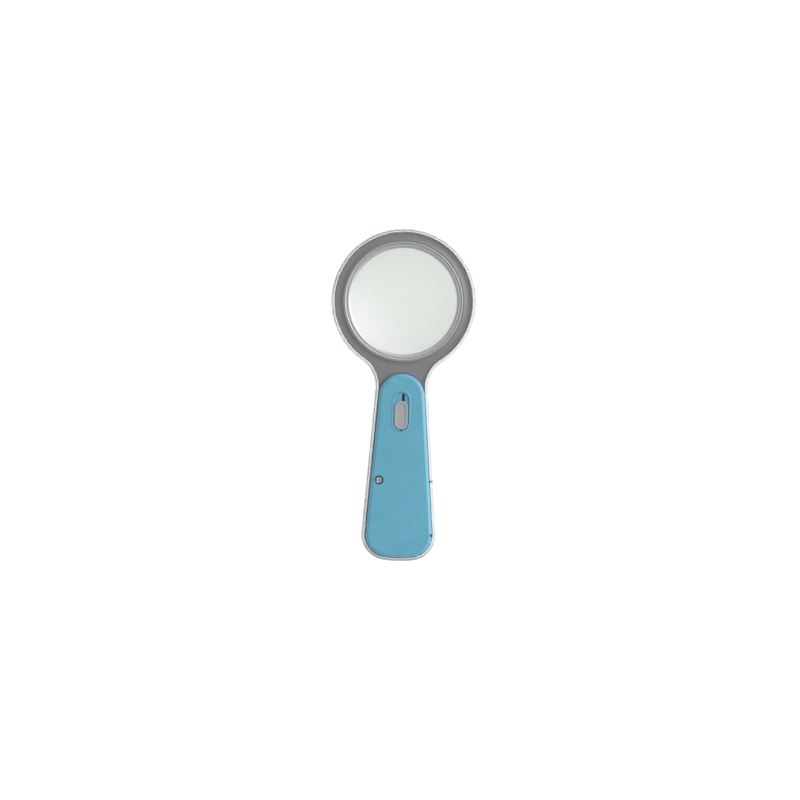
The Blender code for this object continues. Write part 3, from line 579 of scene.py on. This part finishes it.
def rubber():
    """Matt black rubber with dust."""
    clean, dusty = (0.02, 0.02, 0.02), (0.045, 0.045, 0.043)
    finish = Finish("black_rubber", ior=1.5)
    dust = finish.noise(900.0, 4.0)
    finish.feed("Base Color", finish.mix(finish.spread(dust, 0.0, 1.0), clean, dusty))
    finish.feed("Roughness", finish.spread(dust, 0.7, 0.9))
    finish.bump(finish.noise(4000.0, 2.0), 0.01 * MM, 0.5)
    return finish.material


def stage_floor():
    """Plain white sheet that glows a little, so that it stays white under soft light."""
    return Finish("white_sheet", roughness=0.9, base_color=(0.55, 0.55, 0.55, 1.0),
                  emission_color=(1.0, 1.0, 1.0, 1.0), emission_strength=0.82).material


CLEAR = clear_plastic()
GREY = moulded_plastic("grey_moulding", (0.218, 0.218, 0.23), 0.36)
BLUE = moulded_plastic("blue_moulding", (0.113, 0.405, 0.555), 0.36, shine=0.5, sheen=0.8)
BUTTON_GREY = moulded_plastic("button_moulding", (0.395, 0.395, 0.415), 0.42)
BEZEL_GREY = moulded_plastic("bezel_moulding", (0.54, 0.545, 0.545), 0.2, shine=0.8,
                              metallic=0.45)
BLACK = moulded_plastic("black_moulding", (0.022, 0.022, 0.024), 0.4)
WHITE = moulded_plastic("white_moulding", (0.72, 0.73, 0.72), 0.35)
BOARD = moulded_plastic("board_mask", (0.02, 0.17, 0.07), 0.3)
RED = moulded_plastic("red_insulation", (0.5, 0.02, 0.02), 0.4)
CELL_WRAP = cell_wrap(size_of("battery_1").y)
EPOXY = epoxy()
BRASS = brass()
LENS_GLASS = lens_glass()
STEEL = plated_steel("plated_steel", 1.0)
# Darker copy of the plated steel for the screw heads: painted shade.
SCREW_STEEL_PAINTED_DARKER = plated_steel("screw_steel_painted_shade", 0.8)
RUBBER = rubber()


# ---------------------------------------------------------------- housing

def make_tray():
    """Clear tray: rounded back, rim with a soft lip, screw posts, and the hole under the lens."""
    floor_top = 1.8 * MM
    opening_radius = 28.6 * MM
    back_radius, root_radius = 2.0 * MM, 0.25 * MM
    outer_lip, inner_lip = 0.45 * MM, 0.3 * MM
    post_top, post_radius = 6.0 * MM, 2.0 * MM
    section = [(back_radius * (1.0 - math.sin(angle)), back_radius * (1.0 - math.cos(angle)))
               for angle in quarter_turn(8)]
    section += lip_profile(outer_lip, SHELL_TOP)
    section += [(SHELL_WALL - grow, height)
                for grow, height in reversed(lip_profile(inner_lip, SHELL_TOP))]
    section += [(SHELL_WALL + root_radius * (1.0 - math.cos(angle)),
                 floor_top + root_radius * (1.0 - math.sin(angle))) for angle in quarter_turn(4)]
    tray = lofted("clear_tray", [(body_outline(inset), height) for inset, height in section])
    hole = cylinder("hole", 0.0, 0.0, -floor_top, 2 * floor_top, opening_radius, RING_STEPS)
    combine(tray, [hole], "DIFFERENCE")
    posts = []
    pilots = []
    for place in FRAME_SCREWS:
        drop = LENS_Y - place.y
        posts.append(cylinder("post", place.x, drop, floor_top / 2, post_top, post_radius))
        pilots.append(cylinder("pilot", place.x, drop, floor_top / 2, 2 * post_top,
                               SCREW_HOLE_RADIUS))
    combine(tray, posts, "UNION")
    combine(tray, pilots, "DIFFERENCE")
    smooth(tray)
    present(tray, CLEAR, "clear_plastic", "housing", "rear_shell")


def make_lip():
    """Lip around the bezel that falls away to the ring in a cove."""
    start, end = 31.0 * MM, 34.5 * MM
    dip = 0.02 * MM
    root = FRAME_TOP - 0.2 * MM
    inner = 29.0 * MM
    steps = 16
    profile = [(inner, FRAME_TOP + LIP_RISE)]
    for step in range(steps + 1):
        part = step / steps
        profile.append((start + (end - start) * part,
                        FRAME_TOP + LIP_RISE * (1.0 - part) ** 3.0 - dip * part))
    profile += [(end, root), (inner, root)]
    return turned("lip", profile, RING_STEPS, (0.0, LENS_Y), closed=True)


def frame_cutters():
    """Everything cut out of the grey frame's block."""
    far = 2 * FRAME_TOP
    below = -FRAME_BOTTOM
    past = 0.02 * MM
    seat = slab("cover_seat", cover_outline(FRAME_INSET - past), FRAME_LEDGE, far)
    tub = slab("tub", cover_outline(FRAME_INSET + FRAME_WALL), FRAME_FLOOR_TOP, far)
    deck_end_drop = 43.8 * MM
    deck_end = block("deck_end", x=0.0, drop=deck_end_drop + HEAD_RADIUS,
                     low=FRAME_LEDGE + 0.05 * MM, high=far,
                     width=2 * HEAD_RADIUS, length=2 * HEAD_RADIUS)
    chamber = block("chamber", x=0.0, drop=35.6 * MM, low=below, high=11.9 * MM,
                    width=12.0 * MM, length=8.4 * MM)
    window = block("window", x=0.0, drop=30.0 * MM, low=below, high=6.1 * MM,
                   width=4.4 * MM, length=5.0 * MM)
    seat_height, seat_radius = 12.4 * MM, 30.7 * MM
    ledge_height, ledge_radius = 6.5 * MM, 28.3 * MM
    chamfer = 0.15 * MM
    lip_top = FRAME_TOP + LIP_RISE
    bore_profile = [(0.0, far), (seat_radius + chamfer, far), (seat_radius + chamfer, lip_top),
                    (seat_radius, lip_top - chamfer), (seat_radius, seat_height),
                    (BARREL_RADIUS, seat_height), (BARREL_RADIUS, ledge_height),
                    (ledge_radius, ledge_height), (ledge_radius, below), (0.0, below)]
    bore = turned("bore", bore_profile, RING_STEPS, (0.0, LENS_Y))
    barrel_wall, channel_width, channel_top = 1.2 * MM, 2.7 * MM, 12.2 * MM
    inner = BARREL_RADIUS + barrel_wall
    outer = inner + channel_width
    channel_profile = [(inner, channel_top), (outer, channel_top), (outer, below), (inner, below)]
    channel = turned("channel", channel_profile, RING_STEPS, (0.0, LENS_Y), closed=True)
    return [seat, tub, deck_end, chamber, window, bore, channel]


def frame_additions(cradle_drops):
    """Bosses, sleeves, posts, walls and cradles that stand in the grey frame's tub."""
    root = FRAME_FLOOR_TOP - 0.4 * MM
    added = [block("screw_boss", SCREW_X - 0.8 * MM, SCREW_DROP, root, FRAME_LEDGE,
                   width=5.8 * MM, length=6.0 * MM)]
    for place in FRAME_SCREWS:
        added.append(cylinder("sleeve", place.x, LENS_Y - place.y, root, high=7.3 * MM,
                              radius=3.1 * MM))
    board_middle = LENS_Y - centre_of("circuit_board").y
    board_reach = size_of("circuit_board").y / 2 - 2.0 * MM
    for x in (-3.4 * MM, 3.4 * MM):
        for end in (-1, 1):
            added.append(cylinder("board_post", x, board_middle + end * board_reach, root,
                                  high=5.6 * MM, radius=1.1 * MM, segments=32))
    cells_start = LENS_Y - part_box("battery_1")[1].y
    cells_end = LENS_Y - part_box("battery_2")[0].y
    for drop in (cells_start - 1.9 * MM, cells_end + 1.3 * MM):
        added.append(block("cell_wall", 2.4 * MM, drop, root, high=10.8 * MM,
                           width=20.4 * MM, length=0.9 * MM))
    for drop in cradle_drops:
        added.append(block("cradle", 2.5 * MM, drop, root, high=6.2 * MM,
                           width=20.6 * MM, length=1.2 * MM))
    added.append(block("catch", x=14.45 * MM, drop=CATCH_DROP, low=FRAME_LEDGE - 0.5 * MM,
                       high=14.6 * MM, width=0.9 * MM, length=2.6 * MM))
    return added


def cell_room(node, middle_drop, length):
    """Lying cylinder that leaves a gap around a cell."""
    bm = bmesh.new()
    radius = size_of(node).x / 2 + GAP
    bmesh.ops.create_cone(bm, cap_ends=True, segments=64, radius1=radius, radius2=radius,
                          depth=length, matrix=Matrix.Rotation(math.pi / 2, 4, "X"))
    place = centre_of(node)
    bmesh.ops.translate(bm, verts=bm.verts, vec=(place.x, y_at(middle_drop), place.z))
    return from_bmesh("cell_room", bm)


def make_frame():
    """Grey frame: coved ring with the lens barrel, neck deck, handle walls, bosses and ribs."""
    cradle_drops = (90.0 * MM, 103.0 * MM, 116.0 * MM)
    edge_radius = 0.25 * MM
    body = slab("grey_frame", body_outline(FRAME_INSET), FRAME_BOTTOM, FRAME_TOP)
    round_level(body, FRAME_TOP, edge_radius, 3)
    combine(body, [make_lip()], "UNION")
    combine(body, frame_cutters(), "DIFFERENCE")
    combine(body, frame_additions(cradle_drops), "UNION")
    cut = [cylinder("pilot", SCREW_X, SCREW_DROP, low=5.0 * MM, high=FRAME_TOP, radius=1.3 * MM)]
    for place in FRAME_SCREWS:
        drop = LENS_Y - place.y
        cut.append(cylinder("post_room", place.x, drop, 0.0, high=6.3 * MM, radius=2.3 * MM))
        cut.append(cylinder("screw_hole", place.x, drop, 0.0, FRAME_TOP, SCREW_HOLE_RADIUS))
    for node in ("battery_1", "battery_2"):
        cut.append(cell_room(node, cradle_drops[1], length=36.0 * MM))
    combine(body, cut, "DIFFERENCE")
    smooth(body)
    present(body, GREY, "grey_plastic", "housing", "front_frame")


def edge_notches():
    """Cutters for the catch's notch and the small nick in the cover's right edge."""
    deep = 3.0 * MM
    notches = []
    for drop, length, inwards, high in ((CATCH_DROP, 3.4 * MM, 3.1 * MM, COVER_TOP - 1.5 * MM),
                                        (119.6 * MM, 1.5 * MM, 2.95 * MM, 2 * COVER_TOP)):
        notches.append(block("notch", side_at(drop) + deep / 2 - inwards, drop, 0.0, high,
                             deep, length))
    return notches


def make_cover():
    """Blue cover, a little to the right in its seat, with its recesses and edge notches."""
    roof = COVER_TOP - 1.6 * MM
    underside = COVER_TOP - 2.6 * MM
    overlap = 0.4 * MM
    far = 2 * COVER_TOP
    play = Vector((0.18 * MM, 0.0))
    edge_radius, skirt = 1.8 * MM, 1.8 * MM
    cover = slab("blue_cover", [point + play for point in cover_outline(COVER_INSET)],
                 COVER_BOTTOM, COVER_TOP)
    round_level(cover, COVER_TOP, edge_radius, 10)
    hollow = slab("hollow", cover_outline(COVER_INSET + skirt), 0.0, roof)
    combine(cover, [hollow] + edge_notches(), "DIFFERENCE")

    # Thumb recess with a bead round its mouth, a slot for the stem and a small hole at its end
    width, length, drop = 7.9 * MM, 19.7 * MM, 56.35 * MM
    slot_width, slot_length = 1.4 * MM, 8.6 * MM + TRAVEL
    floor = COVER_TOP - 0.7 * MM
    pad_margin = 3.0 * MM
    bead_rise, bead_half, bead_root = 0.22 * MM, 0.4 * MM, 0.3 * MM
    crest = COVER_TOP + bead_rise
    pad = slab("pad", stadium(width + pad_margin, length + pad_margin, drop), underside,
               roof + overlap)
    outside = [(2 * bead_half, COVER_TOP - bead_root)]
    outside += [(bead_half * (1.0 + math.cos(angle)), COVER_TOP + bead_rise * math.sin(angle))
                for angle in quarter_turn(5)]
    bead = lofted("bead", stadium_sections(width, length, drop, outside))
    tube = cylinder("tube", SCREW_X, SCREW_DROP, COVER_BOTTOM + GAP, roof + overlap,
                    radius=3.2 * MM)
    combine(cover, [pad, tube, bead], "UNION")
    inside = [(0.0, floor)] + lip_profile(bead_half - 0.05 * MM, crest)
    inside.append((inside[-1][0], far))
    recess = lofted("recess", stadium_sections(width, length, drop, inside))
    slot = slab("slot", stadium(slot_width, slot_length, STEM_DROP - TRAVEL / 2, STEM_X), 0.0, far)
    end_hole = cylinder("end_hole", 0.0, drop + length / 2 - 0.3 * MM, low=0.0, high=far,
                        radius=0.6 * MM, segments=24)

    # Screw recess with a rounded mouth
    screw_radius, mouth_radius = 2.3 * MM, 0.3 * MM
    mouth = [(screw_radius + grow, height)
             for grow, height in lip_profile(mouth_radius, COVER_TOP)]
    screw_recess = turned("screw_recess", [(0.0, underside), (screw_radius, underside)] + mouth
                          + [(mouth[-1][0], far), (0.0, far)], 64, (SCREW_X, y_at(SCREW_DROP)))
    shank_hole = cylinder("shank_hole", SCREW_X, SCREW_DROP, low=0.0, high=far, radius=1.4 * MM)
    combine(cover, [recess, slot, end_hole, screw_recess, shank_hole], "DIFFERENCE")
    smooth(cover)
    present(cover, BLUE, "blue_plastic", "cover", "handle_cover")


# ---------------------------------------------------------------- lens

def make_lens():
    """Biconvex lens with polished chamfers."""
    low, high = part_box("lens")
    radius = size_of("lens").x / 2
    curve = 122.0 * MM
    chamfer = 0.3 * MM
    rings = 24
    falls = []
    for step in range(rings + 1):
        distance = (radius - chamfer) * step / rings
        falls.append((distance, curve - math.sqrt(curve ** 2 - distance ** 2)))
    front = [(distance, high.z - fall) for distance, fall in falls]
    back = [(distance, low.z + fall) for distance, fall in falls]
    edge = [(radius, front[-1][1] - chamfer), (radius, back[-1][1] + chamfer)]
    lens = turned("magnifying_lens", front + edge + back[::-1], RING_STEPS, (0.0, LENS_Y))
    smooth(lens)
    present(lens, LENS_GLASS, "lens_glass", "housing", "lens")


def make_bezel():
    """Stepped bezel: sloped inner band, groove, round bead and flange."""
    low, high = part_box("lens_retainer")
    top = high.z
    flange = size_of("lens_retainer").x / 2 + 0.25 * MM
    flange_low = 12.7 * MM
    foot = BARREL_RADIUS - GAP
    aperture = 27.3 * MM
    groove = top - 1.1 * MM
    bead_radius = 0.4 * MM
    bead_middle = Vector((29.95 * MM, top - bead_radius))
    profile = [(aperture, top - 1.3 * MM), (aperture + 0.2 * MM, groove),
               (28.75 * MM, top - 0.75 * MM), (28.9 * MM, top - 0.8 * MM),
               (29.0 * MM, groove), (29.4 * MM, groove)]
    profile += [tuple(point) for point in arc(bead_middle, bead_radius, math.pi, 0.0, 8)]
    profile += [(flange, top - bead_radius), (flange, flange_low), (foot, flange_low),
                (foot, low.z), (aperture, low.z + 0.5 * MM)]
    bezel = turned("lens_bezel", profile, RING_STEPS, (0.0, LENS_Y), closed=True)
    smooth(bezel, 40)
    present(bezel, BEZEL_GREY, "bezel_plastic", "housing", "lens_retainer")


# ---------------------------------------------------------------- switch

def make_button():
    """Pill-shaped button with a rounded rim, a dished top and its stem."""
    extra = 0.5 * MM
    low = COVER_TOP - 0.6 * MM
    length = BUTTON_LENGTH + extra
    drop = BUTTON_DROP + extra / 2
    edge_radius = 0.45 * MM
    rim, depth = 0.95 * MM, 0.3 * MM
    button = slab("thumb_button", stadium(BUTTON_WIDTH, length, drop), low, BUTTON_HIGH)
    round_level(button, BUTTON_HIGH, edge_radius, 5)
    hollow = [(-0.2 * MM, BUTTON_HIGH - depth)] + lip_profile(depth, BUTTON_HIGH, 4)
    hollow.append((hollow[-1][0], 2 * BUTTON_HIGH))
    inset = 2 * (rim + depth)
    dish = lofted("dish", stadium_sections(BUTTON_WIDTH - inset, length - inset, drop, hollow))
    combine(button, [dish], "DIFFERENCE")
    stem = block("stem", STEM_X, STEM_DROP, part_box("switch_button")[0].z, low + 0.2 * MM,
                 width=0.8 * MM, length=8.0 * MM)
    combine(button, [stem], "UNION")
    smooth(button)
    present(button, BUTTON_GREY, "button_plastic", "button", "switch_button")


def make_edge_catch():
    """Small catch that hooks over the tray's rim beside the cover."""
    catch = block("edge_catch", side_at(CATCH_DROP) - 0.9 * MM, CATCH_DROP,
                  low=SHELL_TOP + 0.02 * MM, high=SHELL_TOP + 0.45 * MM,
                  width=1.7 * MM, length=0.9 * MM)
    soften(catch, 0.15 * MM, 3)
    smooth(catch)
    present(catch, GREY, "grey_plastic", "housing")


# ---------------------------------------------------------------- screws

def cross_blades(middle, top, head, head_height):
    """Four tapered blades that cut a cross: two wide and shallow, two narrow and deep."""
    length, shortening = 1.6 * head, 0.6
    above = 0.01 * MM
    blades = []
    for turn in (8.0, 98.0):
        for width, depth, narrowing in ((0.8, 0.32, 0.1), (0.25, 0.9, 0.5)):
            blade = block("blade", 0.0, LENS_Y, top - depth * head_height, top + MM,
                          width * head, length)
            for vertex in blade.data.vertices:
                if vertex.co.z < top:
                    vertex.co.x *= narrowing
                    vertex.co.y *= shortening
                else:
                    vertex.co.z = top + above
            blade.data.transform(Matrix.Translation((middle.x, middle.y, 0.0))
                                 @ Matrix.Rotation(math.radians(turn), 4, "Z"))
            blades.append(blade)
    return blades


def make_screw(node, name, body, head_height):
    """Pan-head screw with a domed top, a tapered cross recess and a threaded shank."""
    low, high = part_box(node)
    middle = centre_of(node)
    head = (high.x - low.x) / 2
    shank = 0.5 * head
    head_low = high.z - head_height
    dome_height = 0.45 * head_height
    chamfer = 0.12 * MM
    pitch, thread_depth = 0.55 * MM, 0.16 * MM
    root = shank - thread_depth
    profile = [(head * math.sin(angle), high.z - dome_height * (1 - math.cos(angle)))
               for angle in quarter_turn(8)]
    profile += [(head, head_low + chamfer), (head - chamfer, head_low), (shank, head_low)]
    level = head_low - 0.5 * MM
    while level - pitch > low.z + shank:
        profile += [(shank, level), (root, level - 0.35 * pitch), (root, level - 0.65 * pitch),
                    (shank, level - pitch)]
        level -= pitch
    profile += [(0.35 * shank, low.z), (0.0, low.z)]
    screw = turned(name, profile, 48, (middle.x, middle.y))
    combine(screw, cross_blades(middle, high.z, head, head_height), "DIFFERENCE")
    smooth(screw, 35)
    present(screw, SCREW_STEEL_PAINTED_DARKER, "steel", body, node)


# ---------------------------------------------------------------- power

def make_cell(index, towards_lens):
    """Cell: steel can with a crimp, a shoulder and a button, and its printed wrap."""
    node = f"battery_{index}"
    low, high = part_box(node)
    length, radius = high.y - low.y, (high.x - low.x) / 2
    shoulder = length - 0.8 * MM
    nub = 1.9 * MM
    can = radius - 0.1 * MM
    crimp = can - 0.15 * MM
    base_dish = 0.15 * MM
    can_profile = [(0.0, length), (nub - 0.2 * MM, length), (nub, length - 0.2 * MM),
                   (nub, shoulder + 0.1 * MM), (nub + 0.4 * MM, shoulder),
                   (can - 0.6 * MM, shoulder), (can, shoulder - 0.5 * MM),
                   (can, 1.7 * MM), (crimp, 1.4 * MM), (crimp, 1.1 * MM), (can, 0.8 * MM),
                   (can, 0.4 * MM), (can - 0.35 * MM, 0.0),
                   (3.2 * MM, 0.0), (2.9 * MM, base_dish), (0.0, base_dish)]
    wrap_inner, wrap_end = can + 0.02 * MM, can - 0.7 * MM
    wrap_profile = [(wrap_inner, 0.9 * MM), (radius, 1.0 * MM),
                    (radius, shoulder - 0.5 * MM), (radius - 0.2 * MM, shoulder - 0.05 * MM),
                    (wrap_end, shoulder + 0.06 * MM), (wrap_end, shoulder + 0.02 * MM),
                    (wrap_inner, shoulder - 0.55 * MM)]
    turn = -math.pi / 2 if towards_lens else math.pi / 2
    base_y = low.y if towards_lens else high.y
    middle = centre_of(node)
    place = Matrix.Translation((middle.x, base_y, middle.z)) @ Matrix.Rotation(turn, 4, "X")
    for part, profile, closed, material, slot, nodes in (
            ("can", can_profile, False, STEEL, "steel", [node]),
            ("wrap", wrap_profile, True, CELL_WRAP, "cell_foil", [])):
        obj = turned(f"cell_{index}_{part}", profile, 72, closed=closed)
        obj.matrix_world = place
        smooth(obj, 35)
        present(obj, material, slot, "housing", *nodes)


def make_spring(index, wide_end_low):
    """Conical spring with a closed turn at its wide end."""
    node = f"battery_spring_{index}"
    low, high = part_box(node)
    middle = centre_of(node)
    wire_radius = 0.22 * MM
    wide, narrow = 2.6 * MM, 1.7 * MM
    way = 1 if wide_end_low else -1
    start = low.y if wide_end_low else high.y
    reach = (high.y - low.y) * way
    inset = wire_radius * way
    turns, closed_turn, steps = 4, 0.9, 32
    curve = bpy.data.curves.new(f"spring_{index}", "CURVE")
    curve.dimensions = "3D"
    curve.bevel_depth = wire_radius
    curve.bevel_resolution = 4
    curve.use_fill_caps = True
    spline = curve.splines.new("POLY")
    spline.points.add(turns * steps)
    for step, point in enumerate(spline.points):
        part = step / (turns * steps)
        climb = max(0.0, (part * turns - closed_turn) / (turns - closed_turn))
        angle = 2 * math.pi * turns * part
        radius = wide + (narrow - wide) * climb
        point.co = (middle.x + radius * math.cos(angle),
                    start + inset + (reach - 2 * inset) * climb,
                    middle.z + radius * math.sin(angle), 1.0)
    spring = link(f"spring_{index}", curve_mesh(curve))
    spring.data.shade_smooth()
    present(spring, STEEL, "steel", "housing", node)


# ---------------------------------------------------------------- softened CAD shapes

def rounded_copy(node, material, slot, radius, body="housing"):
    """A CAD node's shape again with its sharp edges rounded."""
    source = frame["nodes"][node]
    obj = link(f"{node}_rounded", source.data.copy())
    obj.matrix_world = source.matrix_world.copy()
    weld(obj)
    soften(obj, radius)
    smooth(obj, 40)
    present(obj, material, slot, body, node)


def make_small_parts():
    """Switch, board, contacts, lamp and gasket with rounded edges and their own materials."""
    crisp, soft = 0.08 * MM, 0.12 * MM
    rounded_copy("switch_base", BLACK, "black_plastic", soft)
    rounded_copy("switch_can", STEEL, "steel", 0.10 * MM)
    rounded_copy("switch_slider", BLACK, "black_plastic", 0.15 * MM, "button")
    rounded_copy("switch_lever", WHITE, "white_plastic", soft, "lever")
    rounded_copy("circuit_board", BOARD, "board_green", crisp)
    rounded_copy("resistor", BLACK, "black_plastic", crisp)
    rounded_copy("lens_gasket", RUBBER, "black_rubber", soft)
    rounded_copy("led_holder", BLACK, "black_plastic", soft)
    rounded_copy("led", EPOXY, "led_plastic", crisp)
    for node in ("contact_positive", "contact_negative", "contact_bridge"):
        rounded_copy(node, STEEL, "steel", crisp)
    for index in (1, 2, 3):
        rounded_copy(f"switch_pin_{index}", BRASS, "brass", 0.04 * MM)


def make_board_metal():
    """Tinned tracks on the board and a solder joint under each wire and lamp lead."""
    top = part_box("circuit_board")[1].z
    low, high = top - 0.02 * MM, top + 0.05 * MM
    lamp_x, lamp_drop = 1.69 * MM, 43.6 * MM
    wire_x, wire_drop = 3.4 * MM, 65.4 * MM
    track_x, track_width = 3.9 * MM, 0.5 * MM
    solder = [(0.0, top + 0.5 * MM), (0.3 * MM, top + 0.46 * MM), (0.55 * MM, top + 0.25 * MM),
              (0.9 * MM, high), (0.95 * MM, low), (0.0, low)]
    for name, side in (("left", -1), ("right", 1)):
        track = block(f"track_{name}", side * track_x, (lamp_drop + wire_drop) / 2, low, high,
                      track_width, wire_drop - lamp_drop + track_width)
        spur = block("spur", side * (lamp_x + track_x) / 2, lamp_drop, low, high,
                     track_x - lamp_x, track_width)
        combine(track, [spur], "UNION")
        smooth(track)
        present(track, BRASS, "brass", "housing")
        for end, x, drop in (("lamp", lamp_x, lamp_drop), ("wire", wire_x, wire_drop)):
            joint = turned(f"solder_{end}_{name}", solder, 24, (side * x, y_at(drop)))
            smooth(joint, 60)
            present(joint, STEEL, "steel", "housing")


def dress_cad_nodes():
    """Better materials on the CAD nodes whose shape stays."""
    looks = {"wire_red": RED, "wire_black": BLACK, "led_lead_1": STEEL, "led_lead_2": STEEL}
    for node, material in looks.items():
        mesh = frame["nodes"][node].data
        mesh.materials.clear()
        mesh.materials.append(material)


# ---------------------------------------------------------------- stage

def make_stage():
    """White floor just below the magnifier, and soft light from the upper right."""
    half_width, clearance = 3.0, 0.2 * MM
    bm = bmesh.new()
    bmesh.ops.create_grid(bm, x_segments=1, y_segments=1, size=half_width)
    floor = from_bmesh("floor", bm)
    floor.location.z = -clearance
    floor.data.materials.append(stage_floor())
    world = bpy.data.worlds.new("studio")
    world.use_nodes = True
    nodes, links = world.node_tree.nodes, world.node_tree.links
    background = nodes["Background"]
    background.inputs["Color"].default_value = (1.0, 1.0, 1.0, 1.0)
    direction = nodes.new("ShaderNodeTexCoord").outputs["Generated"]
    towards_light = nodes.new("ShaderNodeVectorMath")
    towards_light.operation = "DOT_PRODUCT"
    links.new(direction, towards_light.inputs[0])
    towards_light.inputs[1].default_value = Vector((0.80, 0.36, 0.50)).normalized()
    strength = towards_light.outputs["Value"]
    narrowness, key_light, fill_light = 4.0, 3.0, 0.42
    for operation, value in (("MAXIMUM", 0.0), ("POWER", narrowness), ("MULTIPLY", key_light),
                             ("ADD", fill_light)):
        step = nodes.new("ShaderNodeMath")
        step.operation = operation
        step.inputs[1].default_value = value
        links.new(strength, step.inputs[0])
        strength = step.outputs["Value"]
    links.new(strength, background.inputs["Strength"])
    bpy.context.scene.world = world


def make_camera():
    """Long lens above the magnifier, a little to its right and turned a little in its plane."""
    distance, field = 1.6, 0.409
    from_lens = Vector((-0.74 * MM, -50.63 * MM))
    lean, roll = math.radians(1.5), math.radians(1.3)
    camera = bpy.data.cameras.new("camera")
    camera.sensor_width = 36.0
    camera.lens = camera.sensor_width * distance / field
    eye = bpy.data.objects.new("camera", camera)
    eye.rotation_euler = (0.0, lean, roll)
    aim = Vector((from_lens.x, LENS_Y + from_lens.y, SHELL_TOP))
    eye.location = aim + eye.rotation_euler.to_matrix() @ Vector((0.0, 0.0, distance))
    bpy.context.scene.collection.objects.link(eye)
    bpy.context.scene.camera = eye


make_camera()
make_tray()
make_frame()
make_cover()
make_lens()
make_bezel()
make_button()
make_edge_catch()
make_screw("cover_screw", "screw_in_cover", "cover", head_height=1.2 * MM)
for number in (1, 2, 3):
    make_screw(f"frame_screw_{number}", f"screw_in_frame_{number}", "housing",
               head_height=1.3 * MM)
make_cell(1, towards_lens=True)
make_cell(2, towards_lens=False)
make_spring(1, wide_end_low=True)
make_spring(2, wide_end_low=False)
make_small_parts()
make_board_metal()
dress_cad_nodes()
make_stage()
bpy.context.scene.view_settings.view_transform = "Standard"
